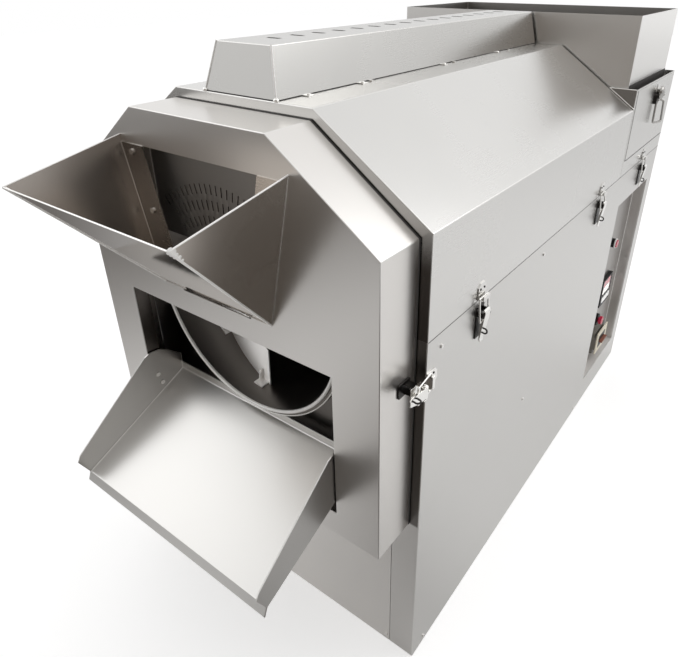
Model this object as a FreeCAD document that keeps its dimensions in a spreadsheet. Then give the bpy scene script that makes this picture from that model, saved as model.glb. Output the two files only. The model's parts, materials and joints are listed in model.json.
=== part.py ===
import FreeCAD, Part
import math
import os
import re
import Sketcher

V = FreeCAD.Vector
doc = FreeCAD.newDocument("drum_roaster")

# Driving dimensions in millimetres and degrees: each is set by itself, the rest follow below
SIZES = [
    ("drum_r", 218.5), ("oven_gap", 61.5), ("blanket_t", 40), ("side_room", 38), ("sheet_t", 2),
    ("chamber_len", 984), ("bay_len", 411), ("axis_z", 752), ("seam_rise", 35), ("crown_room", 31),
    ("shoulder_drop", 142), ("crown_inset", 208), ("slide_gap", 2), ("seam_gap", 1), ("side_gap", 0.5),
    ("run_gap", 0.05), ("clear_gap", 0.3), ("over", 5), ("tube_w", 30), ("post_off", 1),
    ("low_panel_inset", 58), ("post_cover", 14), ("rail_drop", 14), ("low_panel_gap", 5), ("mouth_gap", 5.5),
    ("drum_wall", 2), ("drum_front", 42), ("drum_back_room", 84), ("rim_w", 10), ("rim_back", 2),
    ("rim_thick", 12), ("disc_t", 4), ("hub_r", 60), ("hub_t", 12), ("shaft_r", 20), ("shaft_end", 14),
    ("flight_in_r", 130), ("flight_t", 3), ("flight_start", 14), ("flight_end_gap", 9),
    ("flight_turns_share", 3), ("clip_h", 26), ("clip_t", 3), ("clip_len", 20),
    ("blanket_end", 34), ("vent_inset", 29.4), ("vent_start", 100), ("vent_end_gap", 104),
    ("heater_r", 5), ("heater_off", 26), ("heater_front_gap", 42), ("heater_tail", 26),
    ("heater_collar_r", 9), ("heater_collar_t", 6), ("heater_hole_gap", 1),
    ("bulkhead_t", 4), ("bulkhead_rise", 60), ("shaft_hole_gap", 4), ("shelf_t", 4), ("shelf_margin", 32),
    ("gusset_t", 4), ("gusset_drop", 90), ("bearing_r", 55), ("bearing_len", 26), ("bearing_boss_r", 36),
    ("bearing_flange_t", 10), ("bolt_head_r", 7), ("bolt_head_t", 6), ("bolt_circle", 46),
    ("gearbox_half", 58), ("gearbox_off", 64), ("gearbox_len", 90), ("motor_inset", 2), ("motor_len", 210),
    ("motor_flange_t", 10), ("cowl_len", 44), ("fin_t", 3), ("fin_pitch", 14), ("fin_depth", 5),
    ("roller_r", 25), ("roller_len", 40), ("roller_start", 30), ("roller_deg", 35), ("pin_r", 8),
    ("pad_room", 1.8), ("pad_t", 6), ("pin_end_t", 5), ("pin_end_r", 13),
    ("deck_h", 225), ("pocket_w", 24), ("box_front_gap", 8), ("box_rear_gap", 20), ("box_h", 340),
    ("rail_clear", 2), ("rail_front_gap", 18), ("rail_w", 20), ("rail_h", 28), ("rail_rear_gap", 30),
    ("recess_front_gap", 48), ("recess_rear_gap", 55), ("recess_low", 92), ("recess_drop", 95),
    ("recess_depth", 33), ("pan_lip", 12),
    ("duct_inset", 72.6), ("duct_taper", 19.9), ("duct_low_y", 3), ("duct_rake", 17.6), ("duct_h", 76),
    ("duct_slot_in", 39), ("duct_slot_len", 27), ("duct_slot_w", 5), ("duct_slot_y", 92),
    ("duct_slot_end", 65), ("dot_r", 4), ("dot_t", 2),
    ("cover_gap", 1), ("cover_depth", 95.5), ("cover_inset", 20), ("cover_drop", 363),
    ("cover_shoulder_in", 11), ("cover_top_in", 17), ("cover_crown_in", 2), ("mouth_side", 91),
    ("mouth_sill", 53), ("mouth_head", 19), ("mouth_return", 30), ("feed_drop", 5), ("feed_head", 11),
    ("feed_low_in", 48), ("feed_high_in", 52), ("hop_inset", 150), ("hop_reach", 198.5), ("hop_tilt", 38),
    ("hop_crown_gap", 50), ("hop_taper", 58), ("hop_low_rise", 31), ("hop_flange", 57),
    ("hop_chute_y", 36), ("hop_chute_drop", 41), ("hop_chute_in", 14),
    ("plate_y", 64), ("plate_sill", 90), ("plate_head", 19), ("plate_side", 20),
    ("slot_long", 17), ("slot_wide", 2.6), ("row_in", 163.5), ("row_pitch", 27),
    ("tray_reach", 173.2), ("tray_drop", 52), ("tray_deg", 24.2), ("tray_rear", 20), ("tray_back_h", 16),
    ("tray_lip_y", 7), ("tray_lip_z", 17), ("washer_t", 2), ("tray_tip_out", 19.8), ("tray_tip_h", 44),
    ("tray_tip_cut", 8), ("tray_shoulder_out", 9.5), ("tray_shoulder_h", 182), ("tray_peak_in", 4.1),
    ("tray_peak_h", 187), ("tray_drop_in", 45.5), ("tray_drop_h", 173), ("tray_end_h", 148),
    ("screw_head_r", 5), ("screw_head_t", 2.5), ("tray_screw_in", 14.5), ("tray_screw_h", 117),
    ("tray_screw_dy", 7), ("tray_screw_dz", 24), ("hop_screw_in", 30), ("hop_screw_down", 13),
    ("hop_screw_low_in", 1), ("hop_screw_low_h", 135),
    ("hinge_off", 8), ("hinge_in", 10), ("knuckle_r", 6), ("hinge_pin_r", 3), ("hinge_len", 80),
    ("hinge_low_h", 51), ("hinge_high_drop", 72), ("leaf_t", 4), ("leaf_w", 50), ("hood_axis_x", 6),
    ("hood_hinge_a", 150), ("hood_hinge_end", 184), ("deck_hinge_gap", 56), ("deck_hinge_end", 125),
    ("knuckle_end_gap", 0.5),
    ("latch_one_y", 171), ("latch_two_gap", 166), ("latch_three_gap", 221), ("latch_drop", 25),
    ("cover_latch_y", 26), ("cover_latch_drop", 85), ("latch_base_t", 2), ("latch_base_half", 13),
    ("latch_base_low", 50), ("latch_base_high", 12), ("latch_pin_w", 12), ("latch_pin_r", 2),
    ("latch_ear", 5), ("latch_face_half", 10.4), ("latch_face_t", 2), ("latch_face_low", 58),
    ("latch_face_high", 7), ("latch_face_out", 17), ("latch_face_in", 7), ("wire_r", 1.75),
    ("wire_half", 16), ("wire_pin_w", 10), ("wire_pin_u", 13), ("wire_bar_u", 31), ("wire_bar_w", 5.75),
    ("keep_floor", 26.4), ("keep_top", 56), ("keep_half", 14), ("keep_lip_in", 9.5),
    ("keep_lip_out", 11.5), ("keep_lip_high", 34),
    ("flue_latch_gap", 228), ("flue_latch_drop", 62), ("flue_plate_h", 48), ("flue_drop", 58),
    ("flue_pin_w", 6), ("flue_dome_r", 9), ("flue_dome_t", 4),
    ("ctl_y_in", 160), ("ctl_h", 258), ("ctl_half", 48), ("ctl_bezel_t", 12), ("ctl_body_half", 44),
    ("ctl_body_len", 78), ("disp_half", 40), ("disp_low", 8), ("disp_high", 42), ("disp_t", 1),
    ("key_w", 15), ("key_h", 11), ("key_z", 26), ("key_pitch", 21), ("key_t", 1.5),
    ("lamp_y_in", 164), ("lamp_h", 422), ("lamp_r", 14.5), ("lamp_len", 9), ("lens_r", 12), ("lens_t", 8),
    ("lamp_barrel_r", 11), ("lamp_barrel_len", 36),
    ("stop_y_in", 144), ("stop_h", 151), ("stop_base_r", 20), ("stop_base_t", 10), ("stop_cap_r", 14),
    ("stop_cap_t", 9), ("stop_stem_r", 8), ("stop_travel", 4), ("stop_barrel_len", 40),
    ("brk_y_in", 168), ("brk_h", 71), ("brk_half_y", 52), ("brk_half_z", 40), ("brk_out", 16),
    ("brk_nose_half", 23), ("brk_nose_out", 24), ("brk_back", 50), ("tog_half", 26), ("tog_r", 7),
    ("tog_len", 12), ("tog_t", 5), ("louvre_w", 120), ("louvre_h", 8), ("louvre_pitch", 24),
    ("louvre_drop", 227), ("panel_screw_in", 16),
]

sheet = doc.addObject("Spreadsheet::Sheet", "dims")
for row, (alias, number) in enumerate(SIZES, 1):
    sheet.set("A%d" % row, alias)
    sheet.set("B%d" % row, str(number))
    sheet.setAlias("B%d" % row, alias)
doc.recompute()


# A length that carries both its number and its sheet formula
class Len:
    def __init__(self, number, text):
        self.n = float(number)
        self.t = text

    def _mix(self, other, sign, flip=False):
        o = other if isinstance(other, Len) else Len(other, repr(float(other)))
        a, b = (o, self) if flip else (self, o)
        if sign == "+":
            n = a.n + b.n
        elif sign == "-":
            n = a.n - b.n
        elif sign == "*":
            n = a.n * b.n
        else:
            n = a.n / b.n
        return Len(n, "(%s %s %s)" % (a.t, sign, b.t))

    def __add__(self, o):
        return self._mix(o, "+")

    def __radd__(self, o):
        return self._mix(o, "+", True)

    def __sub__(self, o):
        return self._mix(o, "-")

    def __rsub__(self, o):
        return self._mix(o, "-", True)

    def __mul__(self, o):
        return self._mix(o, "*")

    def __rmul__(self, o):
        return self._mix(o, "*", True)

    def __truediv__(self, o):
        return self._mix(o, "/")

    def __neg__(self):
        return Len(-self.n, "(-1 * %s)" % self.t)


D = {alias: Len(number, "dims." + alias) for alias, number in SIZES}


def d(alias):
    return D[alias]


def sine(a):
    return Len(math.sin(math.radians(a.n)), "sin(%s)" % a.t)


def cosine(a):
    return Len(math.cos(math.radians(a.n)), "cos(%s)" % a.t)


def tangent(a):
    return Len(math.tan(math.radians(a.n)), "tan(%s)" % a.t)


# Sizes and places that follow from the driving dimensions
T = d("sheet_t")
ZERO = T - T
D["liner_r"] = d("drum_r") + d("oven_gap")
BLANKET_R = d("liner_r") + T + d("blanket_t")
HALF = BLANKET_R + d("side_room")
BODY_LEN = d("chamber_len") + d("bay_len")
FRONT = -BODY_LEN / 2
REAR = BODY_LEN / 2
D["seam_z"] = d("axis_z") + d("seam_rise")
D["crown_z"] = d("axis_z") + BLANKET_R + d("crown_room")
D["shoulder_z"] = d("crown_z") - d("shoulder_drop")
D["crown_half"] = HALF - d("crown_inset")

# Cover, mouth and feed
D["cover_half"] = HALF - d("cover_inset")
D["cover_low"] = d("axis_z") - d("cover_drop")
D["cover_shoulder"] = d("shoulder_z") - d("cover_shoulder_in")
D["cover_top"] = d("crown_z") - d("cover_top_in")
D["cover_crown"] = d("crown_half") - d("cover_crown_in")
D["mouth_half"] = d("cover_half") - d("mouth_side")
D["mouth_low"] = d("cover_low") + d("mouth_sill")
D["mouth_high"] = d("axis_z") - d("mouth_head")
D["hop_half"] = d("cover_half") - d("hop_inset")
D["hop_low_half"] = d("hop_half") - d("hop_taper")
D["hop_front"] = d("cover_depth") + d("hop_reach")
D["hop_root_z"] = d("cover_top") - d("hop_crown_gap")
D["hop_lip_z"] = d("hop_root_z") - d("hop_tilt")
D["hop_low_z"] = d("axis_z") + d("hop_low_rise")
D["feed_low"] = d("hop_low_z") - d("feed_drop")
D["feed_high"] = d("hop_root_z") - d("feed_head")
D["feed_low_half"] = d("hop_low_half") - d("feed_low_in")
D["feed_high_half"] = d("hop_half") - d("feed_high_in")
D["hop_flange_top"] = d("feed_high")
D["hop_chute_z"] = d("hop_low_z") - d("hop_chute_drop")
D["hop_chute_half"] = d("feed_low_half") - d("hop_chute_in")
D["plate_low"] = d("feed_low") + d("plate_sill")
D["plate_high"] = d("feed_high") + d("plate_head")
D["plate_half"] = d("feed_high_half") + d("plate_side")
D["row_mid"] = d("row_in") + d("row_pitch")
D["row_out"] = d("row_mid") + d("row_pitch")
D["hop_screw_x"] = d("hop_half") - d("hop_screw_in")
D["hop_screw_z"] = d("feed_high") - d("hop_screw_down")
D["hop_screw_low_x"] = d("hop_low_half") - d("hop_screw_low_in")
D["hop_screw_low_z"] = d("hop_low_z") + d("hop_screw_low_h")

# Tray
D["tray_half"] = d("mouth_half") - d("washer_t")
D["tray_front"] = d("cover_depth") + d("tray_reach")
D["tray_front_z"] = d("mouth_low") - d("tray_drop")
D["tray_tip_y"] = d("tray_front") + d("tray_tip_out")
D["tray_tip_z"] = d("tray_front_z") + d("tray_tip_h")
D["tray_shoulder_y"] = d("cover_depth") + d("tray_shoulder_out")
D["tray_shoulder_z"] = d("tray_front_z") + d("tray_shoulder_h")
D["tray_peak_y"] = d("cover_depth") - d("tray_peak_in")
D["tray_peak_z"] = d("tray_front_z") + d("tray_peak_h")
D["tray_drop_y"] = d("cover_depth") - d("tray_drop_in")
D["tray_drop_z"] = d("tray_front_z") + d("tray_drop_h")
D["tray_end_z"] = d("tray_front_z") + d("tray_end_h")
D["tray_screw_y"] = d("cover_depth") - d("tray_screw_in")
D["tray_screw_z"] = d("tray_front_z") + d("tray_screw_h")

# Body sheets, frame and oven
D["low_panel_half"] = HALF - d("low_panel_inset")
D["low_panel_top"] = d("cover_low") - d("low_panel_gap")
D["inner_post_x"] = d("low_panel_half") - d("post_cover")
D["cross_rail_z"] = d("low_panel_top") - d("rail_drop")
D["post_mid_y"] = d("chamber_len") + d("post_off")
D["louvre_z"] = d("seam_z") - d("louvre_drop")
D["drum_rear"] = d("chamber_len") - d("drum_back_room")
D["flight_pitch"] = (d("drum_rear") - d("disc_t") - d("flight_start") - d("flight_end_gap")
                     - d("flight_t")) / d("flight_turns_share")
D["vent_end"] = d("chamber_len") - d("vent_end_gap")
D["heater_pitch_r"] = d("liner_r") - d("heater_off")
D["heater_start"] = d("roller_start") + d("roller_len") + d("heater_front_gap")
D["heater_end"] = d("chamber_len") + d("heater_tail")
D["heater_hole_r"] = d("heater_r") + d("heater_hole_gap")
D["pad_r"] = d("roller_r") + d("clear_gap") - d("mouth_gap") - d("pad_room")
D["shaft_hole_r"] = d("shaft_r") + d("shaft_hole_gap")

# Drive bay, deck and flue box
D["gearbox_start"] = d("chamber_len") + d("gearbox_off")
D["shaft_len"] = (d("gearbox_start") + d("gearbox_len") + d("shaft_end") - d("drum_rear") - d("hub_t"))
D["shelf_half"] = d("gearbox_half") + d("shelf_margin")
D["shelf_len"] = d("gearbox_off") + d("gearbox_len") + d("shelf_margin") - d("bulkhead_t")
D["motor_r"] = d("gearbox_half") - d("motor_inset")
D["deck_top_z"] = d("seam_z") + d("deck_h")
D["box_floor_z"] = d("axis_z") + d("gearbox_half") + d("rail_clear") + d("rail_h")
D["box_top_z"] = d("box_floor_z") + d("box_h")
D["box_half"] = HALF - d("pocket_w")
D["box_front"] = d("chamber_len") + d("box_front_gap")
D["box_rear"] = BODY_LEN - d("box_rear_gap")
D["rail_start"] = d("chamber_len") + d("rail_front_gap")
D["rail_last"] = BODY_LEN - d("rail_rear_gap") - d("rail_w")
D["bulkhead_top"] = d("box_floor_z") + d("bulkhead_rise")

# Duct
D["duct_low_half"] = d("crown_half") - d("duct_inset")
D["duct_top_half"] = d("duct_low_half") - d("duct_taper")
D["duct_top_y"] = d("duct_low_y") + d("duct_rake")
D["duct_top_z"] = d("crown_z") + d("duct_h")
D["duct_slot_x"] = d("duct_top_half") - d("duct_slot_in")
D["duct_slot_pitch"] = (d("chamber_len") - d("slide_gap") - d("duct_slot_y") - d("duct_slot_end")) / 15
D["vent_half"] = d("duct_low_half") - d("vent_inset")

# Hinges and latches
D["hinge_low_z"] = d("cover_low") + d("hinge_low_h")
D["hinge_high_z"] = d("axis_z") - d("hinge_high_drop")
D["hood_hinge_b"] = d("chamber_len") - d("hood_hinge_end")
D["deck_hinge_a"] = d("chamber_len") + d("deck_hinge_gap")
D["deck_hinge_b"] = BODY_LEN - d("deck_hinge_end")
D["latch_two_y"] = d("chamber_len") - d("latch_two_gap")
D["latch_three_y"] = d("chamber_len") + d("latch_three_gap")
D["latch_z"] = d("seam_z") - d("latch_drop")
D["cover_latch_z"] = d("seam_z") - d("cover_latch_drop")
D["flue_latch_y"] = d("chamber_len") + d("flue_latch_gap")
D["flue_latch_z"] = d("deck_top_z") - d("flue_latch_drop")

# Control recess
D["recess_front"] = d("chamber_len") + d("recess_front_gap")
D["recess_rear"] = BODY_LEN - d("recess_rear_gap")
D["recess_high"] = d("seam_z") - d("recess_drop")
for item in ("ctl", "lamp", "stop", "brk"):
    D[item + "_y"] = d("recess_front") + d(item + "_y_in")
    D[item + "_z"] = d("recess_low") + d(item + "_h")


def fy(alias):
    return FRONT + d(alias)


def ahead(alias):
    return FRONT - d(alias)


def bind(obj, prop, value):
    obj.setExpression(prop, value.t)


# Sketch of polygons and circles on a base plane, each vertex placed by sheet formulas
def sketch(body, plane, loops, offset):
    sk = body.newObject("Sketcher::SketchObject", body.Name + "_sketch")
    plane_obj = [f for f in body.Origin.OriginFeatures if f.Role == plane][0]
    sk.AttachmentSupport = [(plane_obj, "")]
    sk.MapMode = "FlatFace"
    sk.AttachmentOffset = FreeCAD.Placement(V(0, 0, offset.n), FreeCAD.Rotation())
    sk.setExpression("AttachmentOffset.Base.z", offset.t)
    todo = []
    for loop in loops:
        if loop[0] == "circle":
            x, y, r = loop[1:]
            g = sk.addGeometry(Part.Circle(V(x.n, y.n, 0), V(0, 0, 1), r.n), False)
            todo.append((sk.addConstraint(Sketcher.Constraint("Radius", g, r.n)), r))
            todo.append((sk.addConstraint(Sketcher.Constraint("DistanceX", -1, 1, g, 3, x.n)), x))
            todo.append((sk.addConstraint(Sketcher.Constraint("DistanceY", -1, 1, g, 3, y.n)), y))
            continue
        count = len(loop)
        ids = []
        for i in range(count):
            a, b = loop[i], loop[(i + 1) % count]
            line = Part.LineSegment(V(a[0].n, a[1].n, 0), V(b[0].n, b[1].n, 0))
            ids.append(sk.addGeometry(line, False))
        for i in range(count):
            j = (i + 1) % count
            sk.addConstraint(Sketcher.Constraint("Coincident", ids[i], 2, ids[j], 1))
        for i in range(count):
            x, y = loop[i]
            todo.append((sk.addConstraint(Sketcher.Constraint("DistanceX", -1, 1, ids[i], 1, x.n)), x))
            todo.append((sk.addConstraint(Sketcher.Constraint("DistanceY", -1, 1, ids[i], 1, y.n)), y))
    for index, value in todo:
        sk.setExpression("Constraints[%d]" % index, value.t)
    return sk


def rect(x0, x1, y0, y1):
    return [(x0, y0), (x1, y0), (x1, y1), (x0, y1)]


NODES = []
PLANES = {"X": "YZ_Plane", "Y": "XZ_Plane", "Z": "XY_Plane"}


# A body grown from flat profiles along one of the three axes
class Piece:
    def __init__(self, name, keep=True):
        self.body = doc.addObject("PartDesign::Body", name)
        self.body.Label = name
        self.name = name
        if keep:
            NODES.append(self.body)

    def pad(self, axis, loops, lo, hi):
        offset = -hi if axis == "Y" else lo
        sk = sketch(self.body, PLANES[axis], loops, offset)
        f = self.body.newObject("PartDesign::Pad", self.name + "_pad")
        f.Profile = sk
        f.Length = (hi - lo).n
        f.setExpression("Length", (hi - lo).t)
        sk.Visibility = False
        doc.recompute()
        return self

    def cut(self, axis, loops, lo, hi):
        before = self.body.Shape.Volume
        offset = -lo if axis == "Y" else hi
        sk = sketch(self.body, PLANES[axis], loops, offset)
        f = self.body.newObject("PartDesign::Pocket", self.name + "_pocket")
        f.Profile = sk
        f.Length = (hi - lo).n
        f.setExpression("Length", (hi - lo).t)
        sk.Visibility = False
        doc.recompute()
        after = self.body.Shape.Volume
        if not after < before - 1e-6:
            raise RuntimeError("pocket in %s removes nothing" % self.name)
        return self

    def box(self, x0, x1, y0, y1, z0, z1):
        return self.pad("Z", [rect(x0, x1, y0, y1)], z0, z1)

    def disc(self, axis, x, y, r, lo, hi):
        return self.pad(axis, [("circle", x, y, r)], lo, hi)


def keep(obj, name):
    obj.Label = name
    NODES.append(obj)
    return obj


def solid_box(name, x0, x1, y0, y1, z0, z1):
    b = doc.addObject("Part::Box", name)
    for prop, value in (("Length", x1 - x0), ("Width", y1 - y0), ("Height", z1 - z0),
                        ("Placement.Base.x", x0), ("Placement.Base.y", y0), ("Placement.Base.z", z0)):
        bind(b, prop, value)
    return b


# Cylinder along one axis from its start centre
def solid_cyl(name, axis, x, y, z, r, length):
    c = doc.addObject("Part::Cylinder", name)
    turn = {"X": FreeCAD.Rotation(V(0, 1, 0), 90), "Y": FreeCAD.Rotation(V(1, 0, 0), -90),
            "Z": FreeCAD.Rotation()}[axis]
    c.Placement = FreeCAD.Placement(V(0, 0, 0), turn)
    for prop, value in (("Radius", r), ("Height", length), ("Placement.Base.x", x),
                        ("Placement.Base.y", y), ("Placement.Base.z", z)):
        bind(c, prop, value)
    return c


def join(name, parts):
    f = doc.addObject("Part::MultiFuse", name)
    f.Shapes = parts
    return f


def group(name, parts):
    f = doc.addObject("Part::Compound", name)
    f.Links = parts
    return f


def take(name, base, tool):
    c = doc.addObject("Part::Cut", name)
    c.Base = base
    c.Tool = tool
    return c


# Welded frame of square tube
w = d("tube_w")
edge = HALF - T
frame_parts = []
for sx in (-1, 1):
    outer = edge * sx
    inner = (edge - w) * sx
    x0, x1 = (inner, outer) if sx > 0 else (outer, inner)
    frame_parts.append(solid_box("side_sill", x0, x1, FRONT + T, REAR - T, ZERO, w))
    frame_parts.append(solid_box("side_rail", x0, x1, FRONT + T, REAR - T, d("seam_z") - w, d("seam_z")))
    for y0 in (FRONT + T, fy("post_mid_y"), REAR - T - w):
        frame_parts.append(solid_box("post", x0, x1, y0, y0 + w, w - d("seam_gap"), d("seam_z")))
    q0, q1 = d("inner_post_x") * sx, (d("inner_post_x") + w) * sx
    q0, q1 = (q0, q1) if sx > 0 else (q1, q0)
    frame_parts.append(solid_box("front_post", q0, q1, FRONT + T, FRONT + T + w, w - d("seam_gap"),
                                 d("cross_rail_z") + w))
for y0 in (FRONT + T, -w / 2, REAR - T - w):
    frame_parts.append(solid_box("floor_rail", -edge, edge, y0, y0 + w, ZERO, w))
frame_parts.append(solid_box("front_rail", -edge, edge, FRONT + T, FRONT + T + w, d("cross_rail_z"),
                             d("cross_rail_z") + w))
base_frame = keep(join("base_frame", frame_parts), "base_frame")
base_frame.Refine = False

# Side panels, the right one cut open for the control recess
left_panel = Piece("left_side_panel")
left_panel.pad("X", [rect(FRONT, REAR, ZERO, d("seam_z"))], -HALF, -HALF + T)
right_panel = Piece("right_side_panel")
right_panel.pad("X", [rect(FRONT, REAR, ZERO, d("seam_z")),
                      rect(fy("recess_front"), fy("recess_rear"), d("recess_low"), d("recess_high"))],
                HALF - T, HALF)

# Front sheet with the round drum mouth and the service opening below
front_plate = Piece("front_plate")
low_x = d("low_panel_half") + d("seam_gap")
front_plate.pad("Y", [[(-edge, ZERO), (-low_x, ZERO), (-low_x, d("low_panel_top") + d("seam_gap")),
                       (low_x, d("low_panel_top") + d("seam_gap")), (low_x, ZERO), (edge, ZERO),
                       (edge, d("seam_z")), (-edge, d("seam_z"))]], FRONT, FRONT + T)
front_plate.cut("Y", [("circle", ZERO, d("axis_z"), d("drum_r") + d("mouth_gap"))],
                FRONT - d("over"), FRONT + T + d("over"))
low_panel = Piece("lower_front_panel")
low_panel.pad("Y", [rect(-d("low_panel_half"), d("low_panel_half"), ZERO, d("low_panel_top"))],
              FRONT, FRONT + T)

# Rear sheet with two columns of vent slots
rear_panel = Piece("rear_panel")
rear_panel.pad("Y", [rect(-edge, edge, ZERO, d("seam_z"))], REAR - T, REAR)
vents = []
for sx in (-1, 1):
    for k in range(6):
        zc = d("louvre_z") - d("louvre_pitch") * k
        xc = d("louvre_w") * sx
        vents.append(rect(xc - d("louvre_w") / 2, xc + d("louvre_w") / 2, zc, zc + d("louvre_h")))
rear_panel.cut("Y", vents, REAR - T - d("over"), REAR + d("over"))

# Bulkhead between oven and drive bay, with its gear motor shelf
bulk_y = fy("chamber_len") + T + d("side_gap")
bulkhead = Piece("bulkhead")
bulkhead.pad("Y", [rect(w - edge, edge - w, w, d("bulkhead_top"))],
             bulk_y, bulk_y + d("bulkhead_t"))
holes = [("circle", ZERO, d("axis_z"), d("shaft_hole_r"))]
HEAT_DEG = (-158, -128, -98, -82, -52, -22)
for k, deg in enumerate(HEAT_DEG):
    hx = d("heater_pitch_r") * math.cos(math.radians(deg))
    hz = d("axis_z") + d("heater_pitch_r") * math.sin(math.radians(deg))
    holes.append(("circle", hx, hz, d("heater_hole_r")))
bulkhead.cut("Y", holes, bulk_y - d("over"), bulk_y + d("bulkhead_t") + d("over"))
shelf_top = d("axis_z") - d("gearbox_half")
bulk_back = bulk_y + d("bulkhead_t")
bulkhead.box(-d("shelf_half"), d("shelf_half"), bulk_back - d("seam_gap"), bulk_back + d("shelf_len"),
             shelf_top - d("shelf_t"), shelf_top)
for sx in (-1, 1):
    gx = d("shelf_half") * sx
    g0, g1 = (gx - d("gusset_t"), gx) if sx > 0 else (gx, gx + d("gusset_t"))
    bulkhead.pad("X", [[(bulk_back - d("seam_gap"), shelf_top - d("shelf_t") + d("seam_gap")),
                        (bulk_back + d("shelf_len"), shelf_top - d("shelf_t") + d("seam_gap")),
                        (bulk_back - d("seam_gap"), shelf_top - d("gusset_drop"))]], g0, g1)

# Oven trough liner and its blanket in the lower body
liner_len0, liner_len1 = FRONT + T, bulk_y
axis = d("axis_z")


def arch_ring(name, r0, r1, y0, y1, upper, legs, vent=False):
    p = Piece(name)
    p.pad("Y", [("circle", ZERO, axis, r1), ("circle", ZERO, axis, r0)], y0, y1)
    big = r1 + d("over")
    lo, hi = (axis - big, d("seam_z")) if upper else (d("seam_z"), axis + big)
    p.cut("Y", [rect(-big, big, lo, hi)], y0 - d("over"), y1 + d("over"))
    if vent:
        p.cut("Z", [rect(-d("vent_half"), d("vent_half"), fy("vent_start"), fy("vent_end"))],
              axis + d("drum_r"), axis + big)
    return p


lower_liner = arch_ring("lower_liner", d("liner_r"), d("liner_r") + T, liner_len0, liner_len1, False, True)
lower_blanket = arch_ring("lower_insulation", d("liner_r") + T, d("liner_r") + T + d("blanket_t"),
                          FRONT + d("blanket_end"), fy("chamber_len"), False, True)

# Three hairpin heaters under the drum, their ends through the bulkhead
heaters = []
for a_deg, b_deg in ((-158, -128), (-98, -82), (-52, -22)):
    ends = []
    legs = []
    for deg in (a_deg, b_deg):
        hx = d("heater_pitch_r") * math.cos(math.radians(deg))
        hz = axis + d("heater_pitch_r") * math.sin(math.radians(deg))
        legs.append(solid_cyl("heater_leg", "Y", hx, fy("heater_start"), hz, d("heater_r"),
                              d("heater_end") - d("heater_start")))
        legs.append(solid_cyl("heater_collar", "Y", hx, bulk_back, hz, d("heater_collar_r"),
                              d("heater_collar_t")))
        ends.append((hx, hz))
    span = Len(math.hypot(ends[1][0].n - ends[0][0].n, ends[1][1].n - ends[0][1].n),
               "sqrt((%s - %s)^2 + (%s - %s)^2)" % (ends[1][0].t, ends[0][0].t, ends[1][1].t, ends[0][1].t))
    turn = math.degrees(math.atan2(-(ends[1][1].n - ends[0][1].n), ends[1][0].n - ends[0][0].n))
    bar = doc.addObject("Part::Cylinder", "heater_bend")
    bar.Placement = FreeCAD.Placement(V(0, 0, 0), FreeCAD.Rotation(V(0, 1, 0), turn + 90))
    bind(bar, "Radius", d("heater_r"))
    bind(bar, "Height", span)
    bind(bar, "Placement.Base.x", ends[0][0])
    bind(bar, "Placement.Base.y", fy("heater_start"))
    bind(bar, "Placement.Base.z", ends[0][1])
    balls = []
    for hx, hz in ends:
        s = doc.addObject("Part::Sphere", "heater_elbow")
        bind(s, "Radius", d("heater_r"))
        bind(s, "Placement.Base.x", hx)
        bind(s, "Placement.Base.y", fy("heater_start"))
        bind(s, "Placement.Base.z", hz)
        balls.append(s)
    heaters.append(join("hairpin", legs + [bar] + balls))
heating = keep(group("heating_elements", heaters), "heating_elements")

# Control recess pan behind the right panel
pan_back = HALF - d("recess_depth")
pan = Piece("control_pan")
r0, r1 = fy("recess_front"), fy("recess_rear")
z0, z1 = d("recess_low"), d("recess_high")
pan.pad("X", [rect(r0 - T, r1 + T, z0 - T, z1 + T)], pan_back - T, HALF - T)
pan.cut("X", [rect(r0, r1, z0, z1)], pan_back, HALF - T + d("over"))
pan.pad("X", [rect(r0 - d("pan_lip"), r1 + d("pan_lip"), z0 - d("pan_lip"), z1 + d("pan_lip")),
              rect(r0, r1, z0, z1)], HALF - T - T, HALF - T)
ctl_y, ctl_z = fy("ctl_y"), d("ctl_z")
cb = d("ctl_body_half")
pan.cut("X", [rect(ctl_y - cb, ctl_y + cb, ctl_z - cb, ctl_z + cb),
              ("circle", fy("lamp_y"), d("lamp_z"), d("lamp_barrel_r")),
              ("circle", fy("stop_y"), d("stop_z"), d("stop_base_r") - T),
              rect(fy("brk_y") - d("brk_half_y") + T, fy("brk_y") + d("brk_half_y") - T,
                   d("brk_z") - d("brk_half_z") + T, d("brk_z") + d("brk_half_z") - T)],
        pan_back - T - d("over"), pan_back + T)

# Square temperature controller, its window and keys
ctl = Piece("temperature_controller")
cf = d("ctl_half")
ctl_face = pan_back + d("ctl_bezel_t")
ctl.pad("X", [rect(ctl_y - cf, ctl_y + cf, ctl_z - cf, ctl_z + cf)], pan_back, ctl_face)
ctl.pad("X", [rect(ctl_y - cb, ctl_y + cb, ctl_z - cb, ctl_z + cb)], pan_back - d("ctl_body_len"),
        pan_back + d("seam_gap"))
dh = d("disp_half")
ctl.cut("X", [rect(ctl_y - dh, ctl_y + dh, ctl_z - d("disp_low"), ctl_z + d("disp_high"))],
        ctl_face - T, ctl_face + d("over"))
disp = Piece("controller_display")
disp.pad("X", [rect(ctl_y - dh, ctl_y + dh, ctl_z - d("disp_low"), ctl_z + d("disp_high"))],
         ctl_face - T, ctl_face - T + d("disp_t"))
key_bars = []
for k in range(4):
    ky = ctl_y + d("key_pitch") * (k - 1.5)
    key_bars.append(solid_box("key", ctl_face, ctl_face + d("key_t"), ky - d("key_w") / 2,
                              ky + d("key_w") / 2, ctl_z - d("key_z") - d("key_h") / 2,
                              ctl_z - d("key_z") + d("key_h") / 2))
keys = keep(group("controller_keys", key_bars), "controller_keys")

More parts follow.
